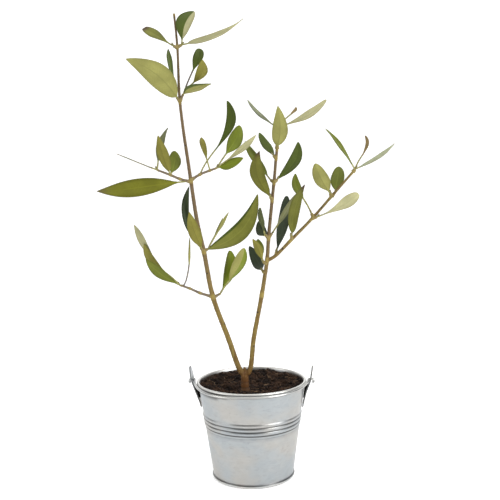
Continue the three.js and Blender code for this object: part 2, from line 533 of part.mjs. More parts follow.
add(tree, 'trunk', trunkGeometry(), bark());
add(tree, 'stem_left', stemGeometry('stem_left'), bark());
add(tree, 'stem_right', stemGeometry('stem_right'), bark());
add(tree, 'side_bough', boughGeometry(), bark());

SPRIGS.forEach((sprig, i) => {
  const material = new THREE.MeshStandardMaterial({ color: sprig.colour, roughness: 0.55, metalness: 0 });
  add(tree, `foliage_${sprig.name}`, sprigGeometry(sprig, 100 * (i + 1)), material);
});

export default tree;
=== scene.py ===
"""A young olive in a small zinc pail: its looks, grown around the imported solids. Metres, front towards -Y."""
import math

import bpy
import numpy as np
from bpy.props import FloatProperty, FloatVectorProperty, IntProperty, PointerProperty
from mathutils import Matrix


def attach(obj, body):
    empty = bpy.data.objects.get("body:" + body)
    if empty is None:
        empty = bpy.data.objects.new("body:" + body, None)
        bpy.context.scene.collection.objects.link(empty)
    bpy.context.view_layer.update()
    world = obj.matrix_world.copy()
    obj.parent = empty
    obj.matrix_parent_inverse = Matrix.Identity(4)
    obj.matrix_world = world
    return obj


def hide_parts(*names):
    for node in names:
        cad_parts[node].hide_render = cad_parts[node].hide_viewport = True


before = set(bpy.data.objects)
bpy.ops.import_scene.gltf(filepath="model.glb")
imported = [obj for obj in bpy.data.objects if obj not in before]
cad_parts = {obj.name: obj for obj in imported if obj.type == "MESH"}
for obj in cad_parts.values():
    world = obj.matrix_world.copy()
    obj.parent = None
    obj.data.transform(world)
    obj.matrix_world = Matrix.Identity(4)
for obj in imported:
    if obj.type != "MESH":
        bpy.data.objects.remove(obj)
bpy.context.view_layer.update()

bl_info = {
    "name": "Potted Olive",
    "version": (1, 0, 0),
    "blender": (4, 5, 0),
    "location": "View3D > Sidebar > Olive",
    "description": "Builds a young olive tree in a zinc pail from its driving sizes",
    "category": "Object",
}

# ---- driving sizes, in millimetres
MM = 0.001
PAIL = {
    "height": 60, "wall": 0.8, "floor": 1.2, "foot": 24.8, "rim": 33.2, "roll": 0.8, "lip": 2,
    "bead": 0.9, "bead_height": 2.4, "groove": 0.22,
    "ribs": 3, "rib_start": 33.25, "rib_pitch": 2.5, "rib_depth": 0.5, "step": 31.65, "step_depth": 0.16,
}
PAIL_TURN = -5.5   # degrees about Z
SOIL = {"top": 55.7, "bank": 2.4, "back_foot": -6, "back_top": 24, "rim_foot": 17.5, "rim_top": 28}
EAR = {
    "right": [(31.1, 42.6), (31.45, 45.2), (33.6, 53.2), (36.3, 60.2), (37.6, 68.6)],
    "left": [(31.35, 42.6), (31.75, 45.2), (34.5, 53.2), (36.75, 60.2), (38.1, 68.6)],
    "web": (48.5, 53.2, 57), "web_thickness": 0.8,
    "thickness": 0.8, "foot": 5, "width": 9, "shoulder": 0.72, "roundness": 0.285, "tip": 0.05,
    "hole": 1.35, "rivet": 0.95, "rivet_height": 45.4,
}
BAIL = {
    "wire": 0.75, "hoop": 35.2, "pivot": 60.2, "drop": 3.4, "shoulder": 1.1, "hook": 1.2,
    "hook_turn": 170, "hoop_start": 4, "reach": {"right": 37.4, "left": 38},
    "sag": {"right": 0.3, "left": 0.9},
}
LUMPS = ((0.7, 6.0, 1.0), (0.45, 2.6, 2.0), (0.2, 1.1, 5.0))   # height, size and seed of the soil's lumps
GROUND = SOIL["top"] + 0.3
TRUNK = {
    "x": -4.2, "y": -13, "fork": 66, "radius": 2.3, "flare": 1.1, "flare_height": 1.8,
    "arm": 4.2, "arm_swelling": 0.15, "stub": (-4, -13.3, 65, 71, 0.9), "root": 1.2,
}
FORK = (TRUNK["x"], TRUNK["y"], TRUNK["fork"])
LIMBS = {
    "stem_left": {
        "nodes": [FORK, (-6.7, -13, 69), (-22.1, -10, 113.7), (-26.9, -7.5, 140.8), (-33.7, -4, 183.6),
                  (-39.2, 0, 231.3), (-40, 3, 264.5), (-41.6, 5, 284.8)],
        "bends": {2: (-13.4, -12, 88.5), 4: (-30.7, -6, 160.1)}, "foot": 1.65, "tip": 0.6,
    },
    "stem_right": {
        "nodes": [FORK, (-1.2, -13.4, 68.8), (7.3, -11.5, 114.4), (11, -10, 135.3), (12.2, -9.5, 148.4),
                  (14.8, -9, 171.1), (16.2, -9, 181.5), (17.7, -9, 196), (18.4, -9, 201.4)],
        "bends": {2: (1.8, -13, 88)}, "foot": 1.5, "tip": 0.8,
    },
    "side_bough": {
        "nodes": [(11, -10, 134.8), (15.8, -11, 137.6), (25.4, -13, 147.1), (37.9, -15.5, 159.7),
                  (49.1, -17, 172.1), (61.8, -19.5, 186.4)],
        "bends": {}, "foot": 1.05, "tip": 0.65,
    },
}
NODE_SWELLING = 0.16
NODE_REACH = 2.4

# Relief of the limbs' bark in millimetres, and a leaf scar's reach round the limb in degrees and up it.
RELIEF = {
    "ridges": 0.035, "ripples": 0.05, "warts": 0.07, "cushion": 0.16, "cushion_size": 0.7,
    "scar": 0.05, "scar_turn": 38, "scar_height": 0.55,
}
# Height above the ground, width and share of the scar rings on the trunk.
TRUNK_RINGS = ((2.6, 0.45, 1.0), (6.0, 0.35, 0.7))
# Where the bark changes, in metres above the floor: from foot to lower, from lower to upper, where its patches
# end and begin, and where the darker base ends.
BARK_STEPS = {
    "lower": (0.062, 0.078), "upper": (0.09, 0.17), "patches": (0.2, 0.07), "darker_base": (0.0565, 0.0595),
}

# Shares of a leaf's length: its stalk, the peak of its bow, and on the blade alone its widest place. A smaller
# blunt rounds the tip off. Near and far each tint one half of a blade, outwards from the share of its
# half-width that lap gives: they paint light and shade onto that half of the fold.
LEAF = {
    "stalk": 0.12, "widest": 0.46, "fold": 12, "blunt": 0.8, "lap": 0, "dry": 0,
    "top": "mid", "under": "straw", "foot": "stalk",
}
STALK = {"width": 1.0, "thickness": 0.85}
STALK_ROWS = 4   # rings of a leaf on its stalk and on its blade
BLADE_ROWS = 26
# A blade's cross-section: softness of the fold's crease, the rim's roll, the midrib's half-width in
# millimetres with its groove above and ridge below, and the wave's height and count.
BLADE = {
    "crease": 0.03, "rim": 0.1, "rib_width": 0.4, "groove": 0.1, "ridge": 0.28, "wave": 0.05, "waves": 1.6,
}
ROLL_SPREAD = 4
TWIG = {"foot": 0.85, "tip": 0.6, "swelling": 0.35, "joint_reach": 0.9, "collar": 0.6, "collar_reach": 2.2}
BUD = {"length": 2.6, "width": 1.1, "rise": 60, "spread": 25, "twist": 14}

# Each spray: its limb, the height it leaves at, its stem's steps of (length, heading, rise), and its
# leaves as (joint, length, heading, rise, width, roll, sickle, curl, what it doesn't share with the rest).
SPRAYS = {
    "top_left": ("stem_left", 264.1, [(2.7, 214, 15)], [
        (1, 23, 161, 33, 8, -40, 0, 0,
         {"stalk": 0.15, "widest": 0.62, "blunt": 0.25, "top": "moss", "dry": 1})]),
    "top_right": ("stem_left", 264.5, [(3, 339, 18)], [
        (1, 42, 339, 16, 7.5, -15, -1.5, -2.2, {"stalk": 0.1, "widest": 0.34, "blunt": 1.4, "under": "pale"}),
        (1, 21, 326, 61, 12.8, -14, 4, -1,
         {"stalk": 0.15, "widest": 0.55, "fold": 20, "blunt": 0.6, "under": "pale", "near": "dark"})]),
    "upper_left": ("stem_left", 231.9, [(3.1, 196, 49)], [
        (0.3, 39.5, 209, 34, 14.5, 55, -4.4, -2, {"stalk": 0.06, "widest": 0.4}),
        (1, 31, 141, 49, 9, 15, -1, 1.5, {"stalk": 0.1}),
        (1, 31, 125, 75, 7.5, 30, -1.5, 0, {"widest": 0.65, "top": "dark", "under": "mid_under"})]),
    "upper_right": ("stem_left", 231.9, [(4.7, 346, 60)], [
        (1, 33, 52, 62, 7.5, 15, 2.2, 1,
         {"stalk": 0.48, "widest": 0.62, "blunt": 0.45, "top": "dark", "foot": "dusk"}),
        (1, 24, 326, 51, 9, -15, -2, -3, {"stalk": 0.37, "widest": 0.6, "under": "khaki"}),
        (1, 23, 321, 9, 9, -15, 2.2, -1,
         {"stalk": 0.08, "widest": 0.4, "fold": 18, "near": "dark", "lap": 0.4})]),
    "middle_left": ("stem_left", 183.1, [(6.9, 184, 16), (6.1, 185, 24), (8.6, 184, 22)], [
        (0.25, 55, 186, -5, 11.5, -75, 0, -3.2,
         {"widest": 0.52, "peak": 0.74, "blunt": 0.95, "top": "olive", "dry": 0.6}),
        (3, 26, 201, 22, 5.5, -10, 0, 0, {"fold": 4, "top": "sedge", "under": "tan"}),
        (3, 30, 65, 61, 6.5, -15, -1, 1.5, {"stalk": 0.2, "top": "sedge"}),
        (2, 25, 228, 69, 8, 15, 0.5, -0.5, {"stalk": 0.1, "widest": 0.42, "under": "khaki"}),
        (2, 19, 80, 52, 8, 30, 1, 0, {"stalk": 0.1, "widest": 0.5, "blunt": 0.5})]),
    "middle_right": ("stem_left", 184.2, [(6.5, 0, 30), (6.5, 355, 20), (4.5, 353, 18)], [
        (1, 50, 35, 65, 7.5, 20, 6.5, -3, {"stalk": 0.35, "widest": 0.62, "blunt": 0.6, "top": "dark"}),
        (2, 21, 240, 67, 7, -20, 4, 2, {"stalk": 0.35, "widest": 0.5, "blunt": 0.6, "under": "khaki"}),
        (3, 31, 32, 56, 9.5, 85, 1.5, 0, {"stalk": 0.35, "widest": 0.54, "blunt": 0.55, "top": "lime"}),
        (3, 32, 335, 35, 5.5, -25, -0.5, -1, {"stalk": 0.3, "widest": 0.5, "under": "pale"}),
        (3, 19, 332, 16, 8, 60, 0.5, -0.5, {"stalk": 0.1, "top": "lime"})]),
    "lower_left": ("stem_left", 141.2, [(3.3, 208, 49)], [
        (1, 40, 116, 68, 7.5, 25, -4.6, -3.5, {"stalk": 0.1, "widest": 0.5, "peak": 0.48, "top": "deep"}),
        (0.4, 27.5, 244, 58, 7.5, 30, 0.8, -2, {"stalk": 0.1, "under": "khaki"})]),
    "lower_right": ("stem_left", 141.4, [(2.9, 348, 25)], [
        (0.3, 47, 10, 45, 11.3, 66, 6.8, -6,
         {"stalk": 0.04, "peak": 0.52, "blunt": 0.75, "top": "moss", "far": "dark", "lap": 0.7}),
        (1, 27, 38, 53, 4.5, -60, -0.5, 0, {"stalk": 0.45, "widest": 0.5, "top": "grey"}),
        (1, 24, 55, 49, 4.5, -70, -1.5, 0, {"stalk": 0.45, "top": "grey"})]),
    "low_left": ("stem_left", 113.7, [(8.2, 184, 19), (6.6, 185, 26), (6.3, 185, 21)], [
        (3, 26, 193, 40, 6.2, -105, -1.8, -0.5, {"stalk": 0.08, "widest": 0.55}),
        (3, 33, 173, 50, 7.5, 60, 2, -2.5, {"stalk": 0.35, "widest": 0.6, "under": "khaki"}),
        (3, 46, 168, 53, 7.5, 60, 2, -2.5, {"stalk": 0.4, "widest": 0.6, "peak": 0.5, "under": "pale"}),
        (2.65, 30, 65, 72, 6, -75, 0, -1.8,
         {"stalk": 0.45, "widest": 0.45, "peak": 0.4, "top": "sedge", "foot": "dusk"})]),
    "low_right": ("stem_left", 113.3, [(5.1, 354, 28)], [
        (1, 27, 46, 70, 7.5, 50, 2.5, 0.5,
         {"stalk": 0.1, "widest": 0.55, "blunt": 0.5, "top": "lime", "far": "mid", "lap": 0.4}),
        (1, 32, 340, 60, 10, -35, -1.5, -1.5,
         {"stalk": 0.3, "widest": 0.55, "fold": 20, "blunt": 0.65, "far": "lime"})]),
    "crest": ("stem_right", 201.4, [(6.5, 56, 85), (6.2, 62, 85)], [
        (0.1, 29, 270, 51, 9.5, -5, -1.5, -2.5, {"stalk": 0.06, "widest": 0.4}),
        (2, 25, 205, 39, 6, 5, 2, -1,
         {"stalk": 0.1, "widest": 0.55, "under": "sage", "near": "dark", "lap": 0.2}),
        (2, 33, 348, 27, 7, -35, -1.5, -2, {"stalk": 0.12, "widest": 0.6, "blunt": 0.55, "under": "pale"}),
        (2, 19, 33, 43, 3.4, 15, 1.5, -0.5, {"stalk": 0.65, "top": "tan", "under": "tan"})]),
    "right_a": ("stem_right", 196, [(2.4, 156, 44)], [
        (0.3, 22.3, 124, 45, 6.5, -10, -0.5, -0.5, {"stalk": 0.08, "blunt": 0.6, "top": "dark"})]),
    "right_b": ("stem_right", 181.8, [(2.6, 13, 34)], [
        (0.4, 31, 41, 50, 8.5, 20, 4, -1, {"stalk": 0.08, "widest": 0.48, "blunt": 0.6, "top": "dark"})]),
    "right_c": ("stem_right", 181.8, [(2.6, 154, 28)], [
        (1, 32, 136, 50, 8, -5, -0.5, -0.5, {})]),
    "right_d": ("stem_right", 171.4, [(2.7, 241, 33)], [
        (0.8, 30, 240, 65, 10, 0, 5.2, 0, {"stalk": 0.06, "widest": 0.42, "under": "mid_under", "dry": 1})]),
    "right_e": ("stem_right", 149, [(3.3, 34, 38)], [
        (1, 31, 13, 55, 6, 25, 0, 0, {"stalk": 0.2, "top": "grey"})]),
    "right_f": ("stem_right", 148.5, [(3, 206, 39)], [
        (1, 18, 247, 67, 6, -35, 1.5, 0,
         {"stalk": 0.15, "widest": 0.5, "blunt": 0.6, "under": "sedge_under"}),
        (1, 20, 99, 23, 7, -5, 0, -4.5, {"stalk": 0.08, "widest": 0.6, "blunt": 0.5, "top": "deep"})]),
    "right_g": ("stem_right", 132.9, [(2.7, 190, 35)], [
        (1, 17, 230, 57, 5, 25, -0.5, 0.5, {"under": "khaki"}),
        (1, 17, 102, 49, 6, 20, 0, 0, {"stalk": 0.25, "widest": 0.52, "blunt": 0.6})]),
    "right_h": ("stem_right", 127.4, [(2.6, 140, 30)], [
        (1, 24.2, 112, 34.5, 8, -40, -0.5, -4, {"stalk": 0.08, "blunt": 0.6, "top": "slate"})]),
    "bough_a": ("side_bough", 138.2, [(2.4, 85, 47)], [
        (1, 39, 67, 59, 9, -10, 1.5, 0, {"stalk": 0.06, "widest": 0.52, "blunt": 0.5, "top": "slate"})]),
    "bough_b": ("side_bough", 147.8, [(2.4, 250, 50)], [
        (0.6, 33, 313, 70, 9, 90, -1.5, 1.5, {"stalk": 0.08, "widest": 0.38, "top": "moss", "dry": 1})]),
    "bough_c": ("side_bough", 160.6, [(2.6, 151, 59)], [
        (1, 27, 131, 62, 5.5, -40, -2, -1.5, {"stalk": 0.4, "widest": 0.5, "blunt": 0.6})]),
    "bough_d": ("side_bough", 159.9, [(2.9, 340, 13)], [
        (1, 28, 343, 28, 9.5, -45, -0.5, -1.4,
         {"stalk": 0.1, "widest": 0.7, "blunt": 0.4, "under": "pale"})]),
    "bough_e": ("side_bough", 172.4, [(2.4, 240, 46)], [
        (1, 21.8, 224, 53, 9.5, 25, 0.7, -0.5, {"stalk": 0.1, "blunt": 0.6})]),
    "bough_f": ("side_bough", 172.7, [(3, 30, 42)], [
        (1, 20, 71, 51, 8.5, 0, 0.5, 0.5, {"stalk": 0.1, "widest": 0.45, "blunt": 0.5})]),
    "bough_tip": ("side_bough", 186.4, [(2, 340, 50)], [
        (1, 30, 200, 51, 6.5, -50, 0, 1, {"stalk": 0.12, "widest": 0.5}),
        (1, 21, 28, 69, 5, -12, 2.6, -2,
         {"stalk": 0.4, "widest": 0.6, "blunt": 0.5, "top": "tan", "under": "tan", "dry": 0.2}),
        (1, 27, 354, 32, 5.5, -25, 0.5, -2, {"stalk": 0.1, "under": "sage"})]),
}

# Leaf tints: (red, green, blue) from 0 to 255, and whether it is a lower side. Most are in even light; dark,
# deep and slate are partly painted shade, given to leaves whose upper face lies in shade.
TINTS = {
    "dark": ((80, 94, 32), False), "mid": ((108, 116, 42), False), "olive": ((116, 117, 36), False),
    "moss": ((124, 126, 54), False), "lime": ((118, 130, 36), False), "deep": ((52, 63, 36), False),
    "slate": ((62, 72, 56), False), "grey": ((148, 150, 108), False), "sedge": ((110, 114, 76), False),
    "straw": ((151, 149, 87), True), "pale": ((175, 172, 130), True), "sage": ((151, 155, 126), True),
    "khaki": ((134, 129, 62), True), "mid_under": ((112, 112, 50), True),
    "sedge_under": ((92, 98, 64), True), "tan": ((146, 126, 84), True),
}
# How the two sides of a leaf differ in gloss, roughness, and their rim's and midrib's share and lightness.
UPPER_SIDE = {"gloss": 0.18, "rough": 0.42, "rim": 0.65, "rib": 0.4, "rib_light": 1.5}
LOWER_SIDE = {"gloss": 0.08, "rough": 0.6, "rim": 0.4, "rib": 0.55, "rib_light": 0.7}

# The other fixed colours of the pail, the soil and the plant, from 0 to 255.
SHADES = {
    # The rubbed colour is partly painted highlight: it lights the roll's upper side and the foot bead.
    "spangle": (200, 202, 200), "streak": (112, 111, 106), "highlight_and_rubbed": (226, 225, 221),
    "soil_dark": (30, 22, 18), "soil": (62, 44, 32), "crumb": (96, 72, 52),
    "root": (72, 50, 33), "straw": (128, 103, 76), "speck": (190, 176, 146), "scar": (52, 40, 30),
    "twig": (98, 84, 70), "twig_light": (126, 110, 84), "twig_joint": (146, 130, 70),
    "bud": (138, 138, 80), "bud_tip": (104, 84, 56), "dry": (84, 66, 50),
    "stalk": (126, 122, 66), "stalk_light": (158, 156, 92),
    "dusk": (100, 90, 84), "dusk_light": (124, 116, 102),
}

# Painted light on the zinc. How dark the painted shade is at the first rib, how much less at each next one, and
# how dark on the foot bead, the lower edge and the step. The pairs are where something starts and where it is
# full: x to the left and right, y to the front, and heights under the roll, up to it and of the roll's painted
# highlight. The left drop is how much lower the painted shade reaches at the left. The bead's painted highlight
# has a strength and a middle height.
PAINTED_LIGHT = {
    "rib": 0.95, "rib_fade": 0.06, "bead": 0.75, "edge": 0.7, "step": 0.3,
    "bead_polish": 0.5, "bead_middle": 0.9,
    "left": (-10, -22), "right": (17, 27), "front": (6, -6), "left_drop": 2.2,
    "under_roll": (57, 57.7), "to_roll": (59.3, 58.6), "polish": (58.9, 59.3),
}
INNER_ROWS = 11   # rows of the pail's profile that lie inside it, after the roll

# The stage: the camera's turns in degrees and its place across, and each lamp's place, size and share of
# the key light's power, in metres; then the floor's sweep in millimetres.
CAMERA = {"pitch": 4.55, "yaw": 0.425, "roll": -1.35, "x": -0.0023, "sensor": 36.0, "clip": 0.01}
LAMPS = {
    "key": ((0.62, -0.5, 0.45), (0.35, 0.6), 1.0),
    "fill": ((-0.8, -0.3, 0.4), (0.5, 0.7), 0.42),
    "top": ((0.0, -0.15, 0.95), (0.9, 0.9), 0.8),
}
LAMP_AIM = 0.13   # height that the lamps face
FLOOR = {"front": -1500, "bend": 700, "radius": 500, "top": 2500, "half_width": 2500}


# ---- small maths on whole arrays
def unit(v):
    """Vectors divided by their lengths."""
    return v / np.linalg.norm(v, axis=-1, keepdims=True)


def direction(heading, rise):
    """Unit vector at a heading from +X towards +Y and a rise above level, in degrees."""
    h, r = math.radians(heading), math.radians(rise)
    return np.array([math.cos(h) * math.cos(r), math.sin(h) * math.cos(r), math.sin(r)])


def draw(k):
    """The seeded rule's draw number k, even between -1 and 1."""
    s = math.sin(k * 12.9898 + 78.233) * 43758.5453
    return 2 * (s - math.floor(s)) - 1


def smoothstep(low, high, x):
    """0 below low and 1 above high, with 3t² - 2t³ between."""
    t = np.clip((x - low) / (high - low), 0, 1)
    return t * t * (3 - 2 * t)


def bell(x, width):
    """1 at 0, falling off to both sides as exp(-(x / width)²)."""
    return np.exp(-((x / width) ** 2))


def circle(sides):
    """Angles at even steps once round."""
    return np.arange(sides) * 2 * math.pi / sides


def noise(points, size, seed=0.0):
    """Smooth noise from -1 to 1: seeded values at the corners of cells of that size, blended by
    smoothstep."""
    cell = np.floor(points / size)
    share = points / size - cell
    share = share * share * (3 - 2 * share)
    total = 0
    for corner in np.ndindex(2, 2, 2):
        s = np.sin((cell + corner) @ np.array([127.1, 311.7, 74.7]) + seed) * 43758.5453
        total = total + (2 * (s - np.floor(s)) - 1) * np.prod(np.where(corner, share, 1 - share), axis=-1)
    return total


def turned(points, axis, angle):
    """Points turned about an axis through the origin, by Rodrigues' formula."""
    k, c, s = np.asarray(axis, float), math.cos(angle), math.sin(angle)
    return points * c + np.cross(k, points) * s + np.outer(points @ k, k).reshape(points.shape) * (1 - c)


def points_of(*coordinates):
    """Points from their coordinates, given as numbers or arrays that fit one another."""
    return np.stack(np.broadcast_arrays(*coordinates), axis=-1)


def running_length(line):
    """Length along a line up to each of its points."""
    return np.concatenate([[0], np.cumsum(np.linalg.norm(np.diff(line, axis=0), axis=1))])


def points_at(where, run, line):
    """Points of a line where a number that grows along it has the values asked for."""
    return points_of(*(np.interp(where, run, line[:, k]) for k in range(3)))


def smooth_line(points, count, fine=40):
    """Centripetal Catmull-Rom line through points: a cubic on each span, with end slopes from its
    neighbours spaced by the root of their distance, then count points even in running length."""
    p = np.array(points, float)
    p = np.vstack([2 * p[0] - p[1], p, 2 * p[-1] - p[-2]])
    gap = np.sqrt(np.linalg.norm(np.diff(p, axis=0), axis=1))[:, None]
    a, b, c, d = p[:-3], p[1:-2], p[2:-1], p[3:]
    g0, g1, g2 = gap[:-2], gap[1:-1], gap[2:]
    slope_b = ((b - a) / g0 - (c - a) / (g0 + g1) + (c - b) / g1) * g1
    slope_c = ((c - b) / g1 - (d - b) / (g1 + g2) + (d - c) / g2) * g1
    t = np.linspace(0, 1, fine, endpoint=False)[None, :, None]
    b, c, slope_b, slope_c = (x[:, None] for x in (b, c, slope_b, slope_c))
    spans = b + slope_b * t + (3 * (c - b) - 2 * slope_b - slope_c) * t**2 + (
        2 * (b - c) + slope_b + slope_c) * t**3
    line = np.vstack([spans.reshape(-1, 3), p[-2]])
    run = running_length(line)
    return points_at(np.linspace(0, run[-1], count), run, line)


def spokes(across, over, sides):
    """Unit vectors round each point of a line: cos a across + sin a over."""
    a = circle(sides)
    return np.cos(a)[None, :, None] * across[:, None] + np.sin(a)[None, :, None] * over[:, None]


def rings_along(line, radius, sides, reference=(0, 1, 0)):
    """Tube: each ring's point is the line's plus radius times a spoke, where across is square to the line
    and the reference, and over is square to both. Radius may vary along and around."""
    ahead = unit(np.gradient(line, axis=0))
    across = unit(np.cross(reference, ahead))
    radius = np.asarray(radius, float)
    spoke = spokes(across, np.cross(ahead, across), sides)
    return line[:, None] + (radius if radius.ndim == 2 else radius[:, None])[..., None] * spoke


# ---- meshes from grids
def faces(*corners):
    """Faces by their corners' numbers, from one array for each corner."""
    return np.stack(corners, axis=-1).reshape(-1, len(corners))


def with_poles(grid):
    """A grid laid flat, between its first ring's mean and its last ring's mean."""
    flat = grid.reshape(-1, *grid.shape[2:])
    return np.concatenate([[grid[0].mean(axis=0)], flat, [grid[-1].mean(axis=0)]])


def shell(rings, **values):
    """Closed surface over a grid of rings, with a pole at the middle of each end ring. Values are numbers
    at the grid's points, whose poles take the end ring's mean."""
    rows, cols = rings.shape[:2]
    at = 1 + np.arange(rows * cols).reshape(rows, cols)
    around = np.roll(at, -1, axis=1)
    start = faces(np.zeros(cols, int), around[0], at[0])
    end = faces(np.full(cols, 1 + rows * cols), at[-1], around[-1])
    return {
        "points": with_poles(rings), "quads": faces(at[:-1], around[:-1], around[1:], at[1:]),
        "tris": np.vstack([start, end]), "values": {
            name: with_poles(np.broadcast_to(v, (rows, cols)).astype(float)) for name, v in values.items()}}


def sheet(grid, loop=False, **values):
    """Surface over a grid of points: open at its edges, or with rows and columns that both come back to
    their start, as on a torus."""
    rows, cols = grid.shape[:2]
    at = np.arange(rows * cols).reshape(rows, cols)
    if loop:
        at = np.pad(at, (0, 1), mode="wrap")
    return {
        "points": grid.reshape(-1, 3), "tris": np.zeros((0, 3), int),
        "quads": faces(at[:-1, :-1], at[:-1, 1:], at[1:, 1:], at[1:, :-1]),
        "values": {name: np.broadcast_to(v, (rows, cols)).reshape(-1) for name, v in values.items()}}


def mesh_piece(name, parts, finishes, smooth=True):
    """One object from closed parts in millimetres: their arrays are laid end to end and set at once.
    A part's slots, if it has them, say which finish each of its quads and then triangles takes."""
    counts = np.array([len(p["points"]) for p in parts])
    starts = np.concatenate([[0], np.cumsum(counts)[:-1]])
    loops, totals, slots = [], [], []
    for part, start in zip(parts, starts):
        loops += [(part["quads"] + start).ravel(), (part["tris"] + start).ravel()]
        totals += [np.full(len(part["quads"]), 4), np.full(len(part["tris"]), 3)]
        slots.append(part.get("slots", np.zeros(len(part["quads"]) + len(part["tris"]), int)))
    points, loops, totals = (np.concatenate(x) for x in ([p["points"] for p in parts], loops, totals))
    mesh = bpy.data.meshes.new(name)
    mesh.vertices.add(len(points))
    mesh.vertices.foreach_set("co", (points * MM).astype(np.float32).ravel())
    mesh.loops.add(len(loops))
    mesh.loops.foreach_set("vertex_index", loops.astype(np.int32))
    mesh.polygons.add(len(totals))
    mesh.polygons.foreach_set("loop_start", np.concatenate([[0], np.cumsum(totals)[:-1]]).astype(np.int32))
    mesh.polygons.foreach_set("material_index", np.concatenate(slots).astype(np.int32))
    mesh.polygons.foreach_set("use_smooth", np.full(len(totals), smooth))
    for key in parts[0].get("values", {}):
        values = np.concatenate([part["values"][key] for part in parts])
        mesh.attributes.new(key, "FLOAT", "POINT").data.foreach_set("value", values.astype(np.float32))
    mesh.update(calc_edges=True)
    mesh.validate()
    for finish in finishes:
        mesh.materials.append(finish)
    piece = bpy.data.objects.new(name, mesh)
    bpy.context.scene.collection.objects.link(piece)
    return piece


def place(piece, body, slot, *nodes):
    """Hands a finished piece to the frame: its body and the nodes it stands for. The slot is not used."""
    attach(piece, body)
    if nodes:
        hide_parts(*nodes)
    return piece


# ---- finishes
class Num:
    """A number socket of a finish. Arithmetic on it adds Math nodes, with plain numbers on either side."""

    def __init__(self, finish, socket):
        self.finish, self.socket = finish, socket

    def maths(self, operation, *others):
        """The number from a Math node whose inputs are this one and the others."""
        node = self.finish.add("ShaderNodeMath", {"operation": operation}, dict(enumerate((self, *others))))
        return Num(self.finish, node.outputs[0])

    def __add__(self, other):
        return self.maths("ADD", other)

    def __sub__(self, other):
        return self.maths("SUBTRACT", other)

    def __rsub__(self, other):
        return self * -1.0 + other

    def __mul__(self, other):
        return self.maths("MULTIPLY", other)

    __radd__ = __add__
    __rmul__ = __mul__

    def __abs__(self):
        return self.maths("ABSOLUTE")

    def step(self, low, high):
        """0 at low and 1 at high, eased between; low may be the larger."""
        node = self.finish.add(
            "ShaderNodeMapRange", {"interpolation_type": "SMOOTHSTEP"},
            {"Value": self, "From Min": low, "From Max": high, "To Min": 0.0, "To Max": 1.0})
        return Num(self.finish, node.outputs[0])


class Finish:
    """A material being made, with its one way of adding a node and its shader's own fixed values."""

    def __init__(self, name, **fixed):
        self.material = bpy.data.materials.new(name)
        self.material.use_nodes = True
        self.tree = self.material.node_tree
        self.shader = self.tree.nodes["Principled BSDF"]
        for socket, value in fixed.items():
            self.shader.inputs[socket.replace("_", " ")].default_value = value

    def add(self, kind, settings=None, inputs=None):
        """A node of a kind, with its settings made first and then its sockets' values or links."""
        node = self.tree.nodes.new(kind)
        for key, value in (settings or {}).items():
            setattr(node, key, value)
        for key, value in (inputs or {}).items():
            socket = node.inputs[key]
            if isinstance(value, Num):
                value = value.socket
            if isinstance(value, bpy.types.NodeSocket):
                self.tree.links.new(value, socket)
            else:
                socket.default_value = value
        return node

    def feed(self, **sockets):
        """Links what varies to the shader's sockets."""
        for name, value in sockets.items():
            socket = value.socket if isinstance(value, Num) else value
            self.tree.links.new(socket, self.shader.inputs[name.replace("_", " ")])
        return self.material

    def places(self, scale=(1, 1, 1)):
        """Object coordinates, stretched by a scale."""
        found = self.add("ShaderNodeTexCoord").outputs["Object"]
        return self.add("ShaderNodeMapping", None, {"Vector": found, "Scale": scale}).outputs[0]

    def height(self):
        """Height above the ground plane in metres."""
        found = self.add("ShaderNodeTexCoord").outputs["Object"]
        return Num(self, self.add("ShaderNodeSeparateXYZ", None, {0: found}).outputs["Z"])

    def noise(self, scale, detail=3.0, roughness=0.55, stretch=(1, 1, 1)):
        """Cloudy noise around a half, with about scale clouds to a metre."""
        node = self.add("ShaderNodeTexNoise", None, {
            "Vector": self.places(stretch), "Scale": scale, "Detail": detail, "Roughness": roughness})
        return Num(self, node.outputs[0])

    def cells(self, scale, stretch=(1, 1, 1), colours=False):
        """Cell pattern: each cell's own random value, or the distance to its middle."""
        node = self.add("ShaderNodeTexVoronoi", None, {"Vector": self.places(stretch), "Scale": scale})
        if not colours:
            return Num(self, node.outputs["Distance"])
        split = self.add("ShaderNodeSeparateColor", None, {0: node.outputs["Color"]})
        return Num(self, split.outputs[0])

    def value(self, name):
        """The piece's own numbers of that name."""
        return Num(self, self.add("ShaderNodeAttribute", {"attribute_name": name}).outputs["Fac"])

    def mix(self, a, b, share):
        """Colour a where share is 0 and b where it is 1."""
        node = self.add("ShaderNodeMix", {"data_type": "RGBA"}, {"Factor": share, 6: a, 7: b})
        return node.outputs[2]

    def over(self, colour, *coats):
        """A colour under coats of (colour, share), each laid over the last."""
        for coat, share in coats:
            colour = self.mix(colour, coat, share)
        return colour

    def bump(self, height, depth, strength=1.0):
        """Normal from a height between 0 and 1 that stands for a depth in metres."""
        node = self.add("ShaderNodeBump", None, {"Height": height, "Distance": depth, "Strength": strength})
        return node.outputs[0]


def linear(rgb, scale=1.0):
    """Screen colour, each from 0 to 255, as the shader's linear colour, made lighter or darker by scale."""
    c = np.array(rgb, float) / 255
    c = np.where(c <= 0.04045, c / 12.92, ((c + 0.055) / 1.055) ** 2.4) * scale
    return (*np.clip(c, 0, 1), 1.0)


def shade(name, scale=1.0):
    """Linear colour of a named shade, made lighter or darker by scale."""
    return linear(SHADES[name], scale)


